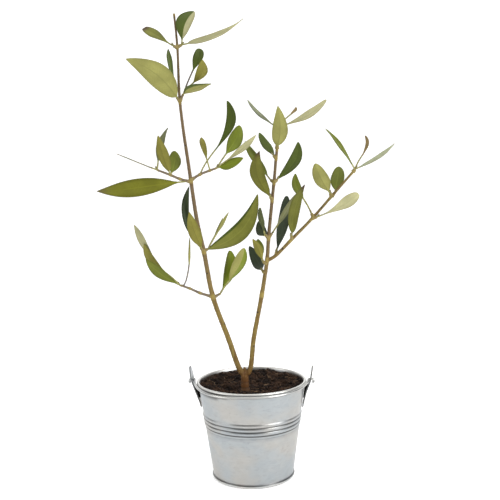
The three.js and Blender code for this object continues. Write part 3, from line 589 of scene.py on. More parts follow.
def zinc_finish(name, settings, roughness, scale=1.0):
    """Galvanised sheet or wire: broad warm and cool clouds, faint spangle, fine streaks round it, painted
    highlight and polish and dark painted shade where the piece says so, and a soft uneven gloss. Scale makes it
    lighter or darker."""
    f = Finish(name, Metallic=1.0)
    clouds = f.noise(42.0, 3.0, 0.5, (1, 1, 1.5)).step(0.36, 0.64)
    spangle = f.cells(settings.spangle, (1, 1, 1.6), colours=True)
    streak = f.noise(420.0, 4.0, 0.6, (0.7, 0.7, 2.0))
    colour = f.over(
        linear(settings.warm, scale), (linear(settings.cool, scale), clouds),
        (shade("spangle", scale), spangle * 0.16), (shade("streak", scale), streak.step(0.5, 0.8) * 0.22),
        (shade("highlight_and_rubbed"), f.value("polish")), (linear(settings.grime), f.value("grime")))
    rough = clouds * 0.06 + spangle * 0.05 + streak * 0.08 + roughness
    height = f.noise(420.0, 3.0) * 0.5 + spangle * 0.2
    return f.feed(Base_Color=colour, Roughness=rough, Normal=f.bump(height, 0.00012, 0.35))


def soil_finish():
    """Dark, moist potting soil: brown and black clouds with a fine crumb."""
    f = Finish("soil_crumb", Roughness=1.0, Specular_IOR_Level=0.25)
    broad, fine = f.noise(160.0, 3.0), f.noise(1500.0, 4.0)
    colour = f.over(
        shade("soil_dark"), (shade("soil"), broad.step(0.4, 0.62)),
        (shade("crumb"), fine.step(0.62, 0.78) * 0.6))
    return f.feed(Base_Color=colour, Normal=f.bump(fine, 0.0004, 0.8))


def two_tone_finish(name, dark, light, roughness, scale, low, high):
    """Plain matt finish between two shades: clouds that are dark below low and light above high."""
    f = Finish(name, Roughness=roughness)
    return f.feed(Base_Color=f.mix(shade(dark), shade(light), f.noise(scale, 2.0).step(low, high)))


def bark_finish(name, foot, low, high, nodes):
    """Smooth young bark: one colour at the foot, one above the fork, one towards the tips and one at the
    swollen nodes, with fine streaks along it, brown patches, pale specks and dark leaf scars. The lowest few
    millimetres, at the soil, are darker."""
    f = Finish(name, Specular_IOR_Level=0.35)
    streak = f.noise(900.0, 4.0, 0.6, (1, 1, 0.12))
    patch = f.noise(260.0, 3.0, 0.6, (1, 1, 0.35))
    speck = f.cells(1100.0, (1, 1, 0.6))
    colour = f.over(
        linear(foot), (linear(low), f.height().step(*BARK_STEPS["lower"])),
        (linear(high), f.height().step(*BARK_STEPS["upper"])),
        (linear(foot, 0.8), patch.step(0.5, 0.66) * f.height().step(*BARK_STEPS["patches"]) * 0.7),
        (linear(foot, 0.5), streak.step(0.5, 0.72) * 0.45), (shade("speck"), speck.step(0.2, 0.08) * 0.35),
        (linear(nodes), f.value("swelling").step(0.4, 0.95) * 0.8), (shade("scar"), f.value("scar")))
    colour = f.mix(linear(foot, 0.4), colour, f.height().step(*BARK_STEPS["darker_base"]))
    height = streak * 0.6 + speck.step(0.2, 0.05) * 0.4
    rough = streak * 0.2 + 0.55
    return f.feed(Base_Color=colour, Roughness=rough, Normal=f.bump(height, 0.00022, 0.6))


def twig_finish():
    """This year's wood: grey-brown with a purple cast, olive at its joints."""
    f = Finish("young_twig")
    streak = f.noise(1200.0, 3.0, 0.6, (1, 1, 0.3))
    colour = f.over(
        shade("twig"), (shade("twig_light"), streak.step(0.35, 0.65)),
        (shade("twig_joint"), f.value("swelling")))
    return f.feed(Base_Color=colour, Roughness=streak * 0.2 + 0.5, Normal=f.bump(streak, 0.0001, 0.4))


def bud_finish():
    """Scaly bud, olive with a browner tip."""
    f = Finish("bud_scale", Roughness=0.6)
    colour = f.mix(shade("bud"), shade("bud_tip"), f.value("tip").step(0.3, 0.95))
    return f.feed(Base_Color=colour, Normal=f.bump(f.noise(2200.0, 2.0), 0.0001, 0.5))


def leaf_finish(name, rgb, lower):
    """Leathery leaf: above, a half-gloss blade with a pale sunken midrib and a darker rim; below, a matt
    scurfy one with a raised midrib. Both have faint clouds and side veins, and some tips are dry."""
    side = LOWER_SIDE if lower else UPPER_SIDE
    f = Finish("leaf_" + name, Specular_IOR_Level=side["gloss"])
    across, along, share = f.value("across"), f.value("along"), abs(f.value("share"))
    rib = abs(across).step(0.42, 0.1) * along.step(1.0, 0.5)
    rim = share.step(0.5, 1.0)
    clouds = f.noise(120.0, 2.0)
    veins = ((along * 150 - abs(across) * 2.2).maths("SINE") + 1) * 0.5
    grain = f.noise(1500.0, 3.0)
    light = 0.94 + f.value("shade") * 0.06
    colour = f.over(
        linear(rgb, 0.88), (linear(rgb, 1.12), clouds.step(0.3, 0.7)), (linear(rgb, 0.9), veins * 0.25),
        (linear(rgb, 0.72), grain.step(0.5, 0.7) * 0.35), (linear(rgb, 0.6), rim * side["rim"]),
        (linear(rgb, side["rib_light"]), rib * side["rib"]), (shade("dry"), f.value("dry")))
    colour = f.mix((0, 0, 0, 1), colour, light)
    height = veins * 0.35 + grain * 0.5
    rough = clouds * 0.12 + side["rough"]
    return f.feed(Base_Color=colour, Roughness=rough, Normal=f.bump(height, 0.0001, 0.35))


# ---- the planter
def wall_radius(z):
    """Outer radius of the tapering wall at a height."""
    return PAIL["foot"] + (PAIL["rim"] - PAIL["foot"]) * z / PAIL["height"]


def turned_round(profile, sides):
    """Profile of (radius, height) turned about Z: the point is (r cos a, r sin a, z)."""
    a = math.radians(PAIL_TURN) + circle(sides)
    r, z = profile[:, 0, None], profile[:, 1, None]
    return points_of(r * np.cos(a), r * np.sin(a), z)


def pail_profile():
    """Half section of the pail: foot bead, lower wall, step, ribs as |sin|, upper wall, rolled rim and
    inside."""
    p = PAIL
    bead_z = np.linspace(0, p["bead_height"], 14)
    bead = p["foot"] + p["bead"] * np.sin(math.pi * bead_z / p["bead_height"]) ** 0.6
    bead[-1] = wall_radius(p["bead_height"]) - p["groove"]
    lower_z = np.linspace(p["bead_height"] + 0.7, p["step"] - 0.3, 14)
    lower_z = np.concatenate([[p["bead_height"] + 0.35], lower_z])
    ribs_end = p["rib_start"] + p["ribs"] * p["rib_pitch"]
    rib_z = np.linspace(p["step"], ribs_end, 64)
    inside_ribs = np.clip(rib_z - p["rib_start"], 0, None) / p["rib_pitch"]
    rib = wall_radius(rib_z) + np.where(
        rib_z < p["rib_start"], p["step_depth"] * smoothstep(p["step"], p["step"] + 0.4, rib_z),
        p["rib_depth"] * np.abs(np.sin(math.pi * inside_ribs)) ** 0.8)
    upper_z = np.linspace(ribs_end + 0.4, p["height"] - 2 * p["roll"] - 0.1, 12)
    a = np.radians(np.linspace(-100, 170, 19))
    roll = points_of(
        wall_radius(p["height"]) + p["roll"] * np.cos(a), p["height"] + p["roll"] * (np.sin(a) - 1))
    inner_z = np.concatenate([np.linspace(p["height"] - p["lip"], 40, 8), [p["floor"] + 0.6, p["floor"]]])
    return np.vstack([
        [[6, 0], [p["foot"] - 0.6, 0]], points_of(bead, bead_z), points_of(wall_radius(lower_z), lower_z),
        points_of(rib, rib_z), points_of(wall_radius(upper_z), upper_z), roll,
        points_of(wall_radius(inner_z) - p["wall"], inner_z), [[6, p["floor"]]]])


def pail_painted_light(grid):
    """Painted shade and painted highlight at each point of the pail's grid, from 0 to 1. The painted shade lies
    as bells at the lower edge of each rib, under the roll, in the seam of the foot bead and along the foot's
    lower edge, never inside. Under the roll it is deepest beside the ears, and widest at the left of the front,
    in the gap between the roll and the wire. The painted highlight is on the roll's upper side and the foot
    bead."""
    x, y, z = np.moveaxis(grid, -1, 0)
    lower_edges = [PAIL["rib_start"] + k * PAIL["rib_pitch"] for k in range(PAIL["ribs"])]
    # Painted shade: a dark bell under each rib, standing for the dark reflection there.
    ribs = sum((PAINTED_LIGHT["rib"] - PAINTED_LIGHT["rib_fade"] * k) * bell(z - (edge + 0.1), 0.42)
               for k, edge in enumerate(lower_edges))
    left = smoothstep(*PAINTED_LIGHT["left"], x) * smoothstep(*PAINTED_LIGHT["front"], y)
    ends = np.maximum(left, smoothstep(*PAINTED_LIGHT["right"], x))
    # Painted shade in the gap between the roll and the wire, widest at the left of the front.
    under_roll = smoothstep(*PAINTED_LIGHT["under_roll"], z + PAINTED_LIGHT["left_drop"] * left)
    under_roll = under_roll * smoothstep(*PAINTED_LIGHT["to_roll"], z) * (0.6 + 0.4 * ends)
    foot = PAINTED_LIGHT["bead"] * bell(z - (PAIL["bead_height"] - 0.5), 0.35) + PAINTED_LIGHT["edge"] * smoothstep(0.5, 0.1, z)
    outside = (np.arange(len(grid)) < len(grid) - INNER_ROWS - 1)[:, None]
    grime = np.clip(ribs + under_roll + foot + PAINTED_LIGHT["step"] * bell(z - PAIL["step"], 0.35), 0, 1) * outside
    # Painted highlight on the foot bead here, and on the roll's upper side in the line below.
    on_bead = PAINTED_LIGHT["bead_polish"] * bell(z - PAINTED_LIGHT["bead_middle"], 0.5) * outside
    return grime, smoothstep(*PAINTED_LIGHT["polish"], z) + on_bead


def pail_surface():
    """The pail's profile turned round, with a flat lock seam down the back as a narrow raised band and
    a faint unevenness of the sheet."""
    profile = pail_profile()
    grid = turned_round(profile, 224)
    angle = np.arctan2(grid[..., 1], grid[..., 0])
    outside = np.arange(len(profile)) < len(profile) - INNER_ROWS
    wall = outside & (profile[:, 1] > PAIL["bead_height"] + 0.3) & (profile[:, 1] < PAIL["height"] - 2)
    seam = 0.28 * smoothstep(0.055, 0.035, np.abs(angle - math.radians(78)))
    uneven = 0.07 * noise(grid, 14.0, 3.0)
    r = np.linalg.norm(grid[..., :2], axis=-1, keepdims=True)
    return grid + np.where(wall[:, None], seam + uneven, 0)[..., None] * np.concatenate(
        [grid[..., :2] / r, np.zeros_like(r)], axis=-1)


def ear_radial(side, z):
    """Inner face's radius of one ear's leaning strap at a height, straight between its bends."""
    r, level = np.array(EAR[side]).T
    return np.interp(z, level, r)


def ear_surface(side):
    """One ear before its turns: a grid round the pivot hole. Going round it follows the strap's outline, and
    going along it runs from the hole to the outline on the outer face and back on the inner one. Its painted
    shade is a dark line along the edges and round the hole."""
    foot, top = EAR[side][0][1], EAR[side][-1][1]
    t = np.concatenate([np.linspace(0, 0.7, 22), np.linspace(0.72, 1, 18)])
    belly = (EAR["foot"] + (EAR["width"] - EAR["foot"]) * np.minimum(1, t / EAR["shoulder"])) / 2
    past = np.maximum(0, t - EAR["shoulder"]) / EAR["roundness"]
    half = belly * np.sqrt(np.maximum(EAR["tip"], 1 - past**2))
    z = foot + (top - foot) * t
    bottom = np.linspace(-half[0], half[0], 9)[1:-1]
    outline = np.vstack([points_of(half, z), points_of(-half, z)[::-1], points_of(bottom, foot)])
    spoke = outline - [0, BAIL["pivot"]]
    hole = unit(spoke) * EAR["hole"]
    share = np.array([0, 0.06, 0.2, 0.5, 0.8, 0.93, 1])
    across = np.concatenate([share, share[::-1][1:-1]])
    outward = np.array([0, 1, 1, 1, 1, 1, 0, -1, -1, -1, -1, -1])
    flat = hole[None] + (spoke - hole)[None] * across[:, None, None]
    flat[..., 1] += BAIL["pivot"]
    collar = 0.16 * bell(np.linalg.norm(flat - [0, BAIL["pivot"]], axis=-1) - EAR["hole"], 0.7)
    radial = ear_radial(side, flat[..., 1]) + EAR["thickness"] / 2 * (1 + outward[:, None])
    radial = radial + collar * (outward > 0)[:, None]
    # Painted shade along the strap's edges and round its hole.
    grime = 0.9 * smoothstep(0.9, 1.0, across) + 0.8 * smoothstep(0.1, 0.0, across)
    return points_of(radial, flat[..., 0], flat[..., 1]), np.clip(grime, 0, 1)[:, None]


def web_surface(side):
    """The web between one ear's strap and the wall before its turns: a flat plate, each of its two faces the
    outline of (radius, height) points. It is wholly dark: painted shade that fills the gap behind the strap."""
    foot, bend, top = EAR["web"]
    wall = [(wall_radius(z) + 0.2, z) for z in np.linspace(foot, top, 6)]
    strap = [(ear_radial(side, z) + EAR["thickness"] / 2, z) for z in (top, (top + bend) / 2, bend, foot)]
    r, z = np.array(wall + strap).T
    return np.stack([points_of(r, y * EAR["web_thickness"], z) for y in (-0.5, 0.5)])


def dome(centre, outward, radius, height, sides=20, rows=7):
    """Low rivet head: rings of radius r cos a at height h sin a, on a short hidden stem."""
    a = np.linspace(0, math.pi / 2 * 0.96, rows)
    reach = np.concatenate([[-0.4], height * np.sin(a)])
    line = np.asarray(centre, float) + np.outer(reach, outward)
    return rings_along(line, np.concatenate([[radius], radius * np.cos(a)]), sides, (0, 0, 1))


def on_pail(points):
    """Points modelled with the ears on the X axis, turned to where the pail stands."""
    return turned(points, (0, 0, 1), math.radians(PAIL_TURN))


def bail_line(count):
    """Middle of the wire at rest: a half hoop that sags a little, by sin² of twice the angle on each side,
    a shoulder out through each ear, and a small hook."""
    b = BAIL
    turn = np.radians(b["hook_turn"]) * np.arange(5) / 4
    a = np.radians(b["hoop_start"] + (90 - b["hoop_start"]) * np.arange(14) / 13)
    pivot = [[b["hoop"] + b["shoulder"], 0, 0], [b["hoop"] + b["shoulder"] / 3, -b["shoulder"] / 3, 0]]
    halves = {}
    for side in ("right", "left"):
        out, down = b["reach"][side] + b["hook"] * np.sin(turn), b["hook"] * (np.cos(turn) - 1)
        sag = -b["sag"][side] * np.sin(2 * a) ** 2
        hoop = points_of(b["hoop"] * np.cos(a), -b["hoop"] * np.sin(a), sag)
        halves[side] = np.vstack([points_of(out, 0, down)[::-1], pivot, hoop])
    line = smooth_line(np.vstack([halves["right"], halves["left"][:-1][::-1] * [-1, 1, 1]]), count)
    line = turned(line, (1, 0, 0), math.radians(b["drop"]))
    line[:, 2] += b["pivot"]
    return on_pail(line)


def wire_surface(line, radius, sides):
    """Round wire along a line, each ring square to it with its first spoke level, and with rounded ends.
    Its painted shade is heaviest underneath."""
    ahead = unit(np.gradient(line, axis=0))
    side = unit(np.cross(np.array([0.0, 0.0, 1.0]) + 1e-6, ahead))
    spoke = spokes(side, np.cross(ahead, side), sides)
    run = running_length(line)
    ends = np.minimum(run, run[-1] - run)
    shrink = np.sqrt(np.clip(1 - (1 - np.minimum(1, ends / radius)) ** 2, 0.02, 1))
    # Painted shade on the wire's underside.
    grime = 0.75 * smoothstep(0.1, -0.8, spoke[..., 2])
    return line[:, None] + (radius * shrink)[:, None, None] * spoke, grime


# ---- soil
def soil_height(x, y):
    """Top of the soil: banked up to the wall and towards the back, with a shallow mound at the trunk and
    three sizes of lumps, always below the rim."""
    p = points_of(x, y, 0)
    turn = math.radians(PAIL_TURN)
    back = y * math.cos(turn) - x * math.sin(turn)
    bank = np.maximum(smoothstep(SOIL["back_foot"], SOIL["back_top"], back),
                      smoothstep(SOIL["rim_foot"], SOIL["rim_top"], np.hypot(x, y)))
    mound = 0.9 * np.exp(-((x - TRUNK["x"]) ** 2 + (y - TRUNK["y"]) ** 2) / 60)
    lumps = sum(height * noise(p, size, seed) for height, size, seed in LUMPS)
    return np.minimum(SOIL["top"] - 0.1 + SOIL["bank"] * bank + mound + lumps, PAIL["height"] - 0.9)


def soil_surface(rows=64, sides=150):
    """Body of soil: a flat bottom just above the pail's floor, then rings from the wall in to the middle at
    the soil's height."""
    reach = wall_radius(SOIL["top"] + SOIL["bank"]) - PAIL["wall"] + 0.05
    r = reach * np.sqrt(np.linspace(0.0004, 1, rows))
    a = circle(sides)
    x, y = r[:, None] * np.cos(a), r[:, None] * np.sin(a)
    top = points_of(x, y, soil_height(x, y))[::-1]
    low = PAIL["floor"] + 0.1
    base = wall_radius(low) - PAIL["wall"] + 0.05
    bottom = points_of(base * np.cos(a), base * np.sin(a), low)[None]
    middle = bottom * [0.1, 0.1, 1]
    return np.concatenate([middle, bottom, top])


def crumbs(count, seed, size, reach):
    """Lumps strewn over the soil: small spheres of 4 rings of 6, each point pushed in or out at random,
    squashed and turned, with their middles a quarter of their radius above the soil."""
    rng = np.random.default_rng(seed)
    lat = np.radians([-55, -18, 18, 55])[:, None]
    lon = np.arange(6) * math.pi / 3
    ball = points_of(np.cos(lat) * np.cos(lon), np.cos(lat) * np.sin(lon), np.sin(lat))
    r = reach * np.sqrt(rng.random(count))
    a = rng.random(count) * 2 * math.pi
    x, y = r * np.cos(a), r * np.sin(a)
    radius = size[0] + (size[1] - size[0]) * rng.random(count) ** 2.2
    squash = 0.6 + 0.7 * rng.random((count, 3))
    lumps = ball[None] * (0.75 + 0.5 * rng.random((count, 4, 6, 1))) * squash[:, None, None]
    turn = np.linalg.qr(rng.normal(size=(count, 3, 3)))[0]
    turn *= np.sign(np.linalg.det(turn))[:, None, None]
    lumps = np.einsum("nij,nrsj->nrsi", turn, lumps) * radius[:, None, None, None]
    centre = points_of(x, y, soil_height(x, y) + radius * 0.25)
    return [shell(lump) for lump in lumps + centre[:, None, None]]


def fibres(count, seed):
    """Thin roots and straws lying on the soil: bent lines of seven points with a four-sided tube, arched a
    little and kept inside the wall."""
    rng = np.random.default_rng(seed)
    parts = []
    for _ in range(count):
        r, a = 29 * math.sqrt(rng.random()), rng.random() * 2 * math.pi
        heading, length, bend = rng.random() * 2 * math.pi, rng.uniform(2, 8), rng.normal(0, 0.6)
        t = np.linspace(-0.5, 0.5, 7)
        angle = heading + bend * t
        x = r * math.cos(a) + length * t * np.cos(angle)
        y = r * math.sin(a) + length * t * np.sin(angle)
        inside = wall_radius(SOIL["top"]) - PAIL["wall"] - 0.6
        shrink = np.minimum(1, inside / np.maximum(np.hypot(x, y), 1e-6))
        x, y = x * shrink, y * shrink
        line = points_of(x, y, soil_height(x, y) + 0.35 + 0.5 * rng.random() * (1 - 4 * t**2))
        line[:, 2] = np.maximum(line[:, 2], line[:, 2].mean())
        parts.append(shell(rings_along(line, rng.uniform(0.1, 0.26) * (1 - 0.5 * np.abs(t)), 4, (0, 0, 1))))
    return parts


# ---- trunk and stems
def limb_line(name, count=900):
    """Smooth middle line of a limb through its fork, bends and nodes."""
    spec = LIMBS[name]
    points = []
    for i, node in enumerate(spec["nodes"]):
        points += [spec["bends"][i]] if i in spec["bends"] else []
        points.append(node)
    return smooth_line(points, count)


def limb_swelling(name, line):
    """1 at each leaf node of a limb, falling off as a bell along it."""
    nodes = np.array(LIMBS[name]["nodes"][2:])
    distance = np.linalg.norm(line[:, None] - nodes[None], axis=-1)
    return bell(distance, NODE_REACH).max(axis=1)


SCARS = {"stem_left": [(84, 200), (97, 330), (128, 250), (155, 20), (205, 260)],
         "stem_right": [(84, 300), (95, 150), (104, 240), (122, 20), (160, 250)],
         "side_bough": [(142, 260), (153, 200), (166, 250)]}   # (height, angle round the limb)


def limb_surface(name, start=0.0, sides=28, step=0.45):
    """Limb from a length along its line: a tapering tube, wider at its nodes, with low ridges along it,
    small warts, and shallow leaf scars with a small cushion under each. It ends in a rounded tip."""
    spec = LIMBS[name]
    line = limb_line(name)
    run = running_length(line)
    keep = np.arange(start, run[-1], step)
    keep = np.append(keep, run[-1] - np.array([0.5, 0.3, 0.12, 0.0]) * spec["tip"])
    keep = np.unique(np.round(keep, 4))
    line = points_at(keep, run, line)
    swelling = limb_swelling(name, line)
    even = spec["foot"] + (spec["tip"] - spec["foot"]) * keep / run[-1]
    radius = even * (1 + NODE_SWELLING * swelling)
    left = run[-1] - keep
    radius = radius * np.sqrt(np.clip(1 - (1 - np.minimum(1, left / (0.5 * spec["tip"]))) ** 2, 0.03, 1))
    rings = rings_along(line, radius, sides)
    spoke = unit(rings - line[:, None])
    angle = np.arange(sides) * 360 / sides
    stretched = points_of(spoke[..., 0] * 2, spoke[..., 1] * 2, keep[:, None] / 9)
    relief = RELIEF["ridges"] * noise(stretched, 0.45, 4.0)
    relief = relief + RELIEF["ripples"] * noise(stretched * [1, 1, 6], 1.0, 8.0)
    relief = relief + RELIEF["warts"] * smoothstep(0.55, 0.9, noise(rings, 0.8, 11.0))
    scar = np.zeros(spoke.shape[:2])
    for height, turn in SCARS[name]:
        away = np.abs((angle - turn + 180) % 360 - 180)[None] / RELIEF["scar_turn"]
        up = (line[:, 2] - height)[:, None] / RELIEF["scar_height"]
        scar = np.maximum(scar, smoothstep(1.1, 0.6, np.hypot(away, up)))
        below = (line[:, 2] - height + RELIEF["cushion_size"])[:, None] / RELIEF["cushion_size"]
        relief = relief + RELIEF["cushion"] * np.exp(-(away**2 + below**2))
    relief = (relief - RELIEF["scar"] * scar) * np.minimum(1, radius)[:, None]
    rings = rings + relief[..., None] * spoke
    return shell(rings, swelling=swelling[:, None], scar=scar)


def trunk_parts():
    """Column with a flared foot that runs into the soil, two short arms and the stub of a cut leader."""
    t = TRUNK
    up = np.concatenate([[-t["root"]], np.linspace(0, 3, 8), np.linspace(4, t["fork"] - GROUND, 8)])
    radius = t["radius"] + t["flare"] * np.exp(-np.maximum(up, 0) / t["flare_height"])
    lobes = 1 + 0.1 * np.exp(-np.maximum(up, 0) / 2.5)[:, None] * np.cos(3 * circle(24) + 0.6)
    line = points_of(t["x"], t["y"], GROUND + up)
    parts = [shell(rings_along(line, radius[:, None] * lobes, 24))]
    for name in ("stem_left", "stem_right"):
        whole = limb_line(name)
        arm = whole[running_length(whole) <= t["arm"]]
        parts.append(shell(rings_along(arm, np.full(len(arm), LIMBS[name]["foot"] + t["arm_swelling"]), 24)))
    x, y, foot, top, r = t["stub"]
    stub = points_of(x, y, np.linspace(foot, top, 6))
    parts.append(shell(rings_along(stub, np.array([1, 1, 1, 1, 0.96, 0.8]) * r, 16)))
    return parts


def evaluated(piece):
    """The piece's mesh with its modifiers made real."""
    graph = bpy.context.evaluated_depsgraph_get()
    mesh = bpy.data.meshes.new_from_object(piece.evaluated_get(graph))
    piece.modifiers.clear()
    piece.data = mesh
    return mesh


def weld_and_carve(piece, voxel):
    """Joins overlapping parts into one skin, smooths it, and moves it along its normals by two sizes of
    noise, less two rings that are scars."""
    skin = piece.modifiers.new("skin", "REMESH")
    skin.mode, skin.voxel_size, skin.use_smooth_shade = "VOXEL", voxel * MM, True
    ease = piece.modifiers.new("ease", "SMOOTH")
    ease.factor, ease.iterations = 0.5, 8
    mesh = evaluated(piece)
    count = len(mesh.vertices)
    co, normal = np.zeros(count * 3), np.zeros(count * 3)
    mesh.vertices.foreach_get("co", co)
    mesh.vertices.foreach_get("normal", normal)
    co, normal = co.reshape(-1, 3) / MM, normal.reshape(-1, 3)
    ring = sum(share * bell(co[:, 2] - GROUND - up, width) for up, width, share in TRUNK_RINGS)
    bark = 0.16 * noise(co * [1, 1, 0.3], 0.9, 4.0) + 0.09 * noise(co, 0.5, 9.0)
    mesh.vertices.foreach_set("co", ((co + normal * (bark - 0.14 * ring)[:, None]) * MM).ravel())
    for name, values in {"swelling": np.zeros(count), "scar": 0.6 * np.clip(ring, 0, 1)}.items():
        mesh.attributes.new(name, "FLOAT", "POINT").data.foreach_set("value", values.astype(np.float32))
    mesh.update()


# ---- twigs, leaves and buds
def blade_share(v, widest, blunt):
    """Half-width of a lance-shaped blade as a share of the greatest: sin(pi v^p)^q, with p set so that it
    peaks at the widest place, and q 0.8 up to there and the blade's own bluntness past it."""
    v = np.clip(v, 0, 1)
    arch = np.maximum(0, np.sin(math.pi * v ** (math.log(0.5) / math.log(widest))))
    return arch ** np.where(v < widest, 0.8, blunt)


def bow(u, peak):
    """Height of a bow that starts and ends at 0 and is 1 at its peak: u^p (1-u), scaled."""
    power = peak / (1 - peak)
    return u**power * (1 - u) / (peak**power * (1 - peak))


ACROSS = np.array([-1, -0.96, -0.86, -0.7, -0.5, -0.3, -0.12, 0, 0.12, 0.3, 0.5, 0.7, 0.86, 0.96, 1])
AROUND = np.concatenate([ACROSS[::-1], ACROSS[1:-1]])   # under side from one rim to the other, then the top
OVER = np.concatenate([-np.ones(len(ACROSS)), np.ones(len(ACROSS) - 2)])


def leaf_surface(root, row, seed, slots, thickness):
    """One leaf as rings round a bowed line. A ring's point is the line's, plus v times the half-width
    along the side, plus along the face: the fold's rise, a rolled-down rim, a midrib that is a groove
    above and a ridge below, a slow wave, and half the thickness times the root of 1 - v²."""
    _, length, heading, rise, width, roll, sickle, curl, own = row
    spec = {**LEAF, **own}
    stalk, peak = spec["stalk"], spec.get("peak", (1 + spec["stalk"]) / 2)
    ahead = direction(heading, rise)
    side = turned(unit(np.cross(ahead, [0, 0, 1])), ahead, math.radians(roll + ROLL_SPREAD * draw(seed)))
    face = np.cross(side, ahead)
    blade = 1 - (1 - np.linspace(0, 1, BLADE_ROWS)) ** 1.15
    on_blade = stalk + (1 - stalk) * blade[:-1]
    u = np.concatenate([np.linspace(0, stalk, STALK_ROWS + 1)[:-1], on_blade, [0.994]])
    v = np.clip((u - stalk) / (1 - stalk), 0, 1)
    half = np.maximum(STALK["width"] * (1 - v) / 2, width / 2 * blade_share(v, spec["widest"], spec["blunt"]))
    half = np.maximum(half, 0.12)
    flat = smoothstep(STALK["width"] * 0.55, STALK["width"] * 1.4, half)
    thick = STALK["thickness"] * (1 - flat) * (1 - 0.5 * v) + thickness * flat
    height = bow(u, peak)
    line = root + np.outer(length * u, ahead)
    line = line + np.outer(sickle * height, side) + np.outer(curl * height, face)
    h, f, t = half[:, None], flat[:, None], thick[:, None]
    lift = math.radians(spec["fold"])
    out = h * AROUND * (1 + (math.cos(lift) - 1) * f)
    folded = h * f * math.sin(lift) * (np.sqrt(AROUND**2 + BLADE["crease"]) - math.sqrt(BLADE["crease"]))
    rim = -BLADE["rim"] * h * f * AROUND**6
    rib = bell(h * AROUND, BLADE["rib_width"]) * f * (1 - 0.7 * v[:, None])
    rib = rib * np.where(OVER > 0, -BLADE["groove"], -BLADE["ridge"])
    wave = BLADE["wave"] * h * f * AROUND * np.abs(AROUND)
    wave = wave * np.sin(2 * math.pi * (BLADE["waves"] * u[:, None] + draw(seed + 1)))
    up = folded + rim + rib + wave + OVER * t / 2 * np.sqrt(1 - AROUND**2)
    rings = line[:, None] + out[..., None] * side + up[..., None] * face
    part = shell(rings, across=out, along=u[:, None], share=AROUND, shade=draw(seed + 5),
                 dry=spec["dry"] * smoothstep(0.82, 0.97, u)[:, None])
    rows, cols = rings.shape[:2]
    on_top = np.broadcast_to(np.arange(cols) >= len(ACROSS) - 1, (rows - 1, cols))
    outward = np.broadcast_to((AROUND + np.roll(AROUND, -1)) / 2, (rows - 1, cols))
    pick = np.where(on_top, slots[spec["top"]], slots[spec["under"]])
    # Near and far lay another tint on one half of the blade: painted light and shade on that half of the fold.
    for key, where in (("near", outward > spec["lap"]), ("far", outward < -spec["lap"])):
        if key in spec:
            pick = np.where(where, slots[spec[key]], pick)
    on_stalk = np.broadcast_to((np.arange(rows - 1) < STALK_ROWS)[:, None], pick.shape)
    pick = np.where(on_stalk, slots[spec["foot"]], pick)
    part["slots"] = np.concatenate([pick.ravel(), np.full(cols, slots[spec["foot"]]), pick[-1]])
    return part


def bud_surface(root, ahead, length, width):
    """Scaly bud: rings of radius sin(pi t)^0.7 that lean to a point, with two keels as cos 2a."""
    t = np.array([0.02, 0.15, 0.32, 0.5, 0.68, 0.84, 0.95])
    keels = 1 + 0.14 * np.cos(2 * circle(10))
    radius = width / 2 * np.sin(math.pi * t**0.8)[:, None] ** 0.7 * keels
    reference = (0, 0, 1) if abs(ahead[2]) < 0.9 else (0, 1, 0)
    rings = rings_along(root + np.outer(length * t, ahead), radius, 10, reference)
    return shell(rings, tip=t[:, None])


def limb_point(name, height):
    """Point of a limb's middle line at a height."""
    line = limb_line(name)
    return points_at(height, line[:, 2], line)


def spray_joints(spray):
    """Joints of a spray's stem, from the limb's middle outwards."""
    limb, height, steps, _ = spray
    moves = np.array([length * direction(heading, rise) for length, heading, rise in steps])
    return limb_point(limb, height) + np.vstack([np.zeros(3), np.cumsum(moves, axis=0)])


def at_joint(joints, joint):
    """Place on a stem at a joint number, which may lie between two."""
    whole = min(int(joint), len(joints) - 2)
    return joints[whole] + (joints[whole + 1] - joints[whole]) * (joint - whole)


def twig_surface(joints):
    """A spray's stem: a smooth tube through its joints that tapers, swells at each of them and widens to a
    collar where it leaves the limb, as a bell along its length."""
    count = 10 * (len(joints) - 1) + 1
    line = smooth_line(joints, count)
    run = running_length(line)
    near = bell(np.linalg.norm(line[:, None] - joints[None, 1:], axis=-1), TWIG["joint_reach"]).max(axis=1)
    collar = bell(run, TWIG["collar_reach"])
    radius = TWIG["foot"] + (TWIG["tip"] - TWIG["foot"]) * run / run[-1]
    radius = radius * (1 + TWIG["swelling"] * near + TWIG["collar"] * collar)
    radius[-1] *= 0.55
    ahead = unit(joints[-1] - joints[0])
    reference = (0, 0, 1) if abs(ahead[2]) < 0.8 else (0, 1, 0)
    return shell(rings_along(line, radius, 12, reference), swelling=np.maximum(near, collar)[:, None])


def sprays_on(limb):
    """The sprays of one limb with their seeds, in the order of the table."""
    numbered = enumerate(SPRAYS.items(), start=1)
    return [(name, spray, 100 * i) for i, (name, spray) in numbered if spray[0] == limb]


def spray_buds(spray, seed):
    """The resting bud at a spray's end, two young scale leaves beside it, and a bud in each leaf's angle."""
    joints = spray_joints(spray)
    heading = spray[2][-1][1]
    ahead = direction(heading + BUD["spread"] * draw(seed + 3), BUD["rise"] + BUD["twist"] * draw(seed + 4))
    parts = [bud_surface(joints[-1], ahead, BUD["length"], BUD["width"])]
    across = unit(np.cross(ahead, direction(heading, 0) + [0, 0, 0.3]))
    for turn in (-1, 1):
        lean = unit(ahead + turn * 0.75 * across)
        parts.append(bud_surface(joints[-1] - 0.2 * ahead, lean, BUD["length"] * 0.62, BUD["width"] * 0.6))
    for k, row in enumerate(spray[3]):
        out = unit(direction(row[2], row[3]) + 0.5 * unit(joints[-1] - joints[0]) + [0, 0, 0.25])
        parts.append(bud_surface(at_joint(joints, row[0]), out, 1.5 + 0.4 * draw(seed + 30 + k), 0.75))
    return parts


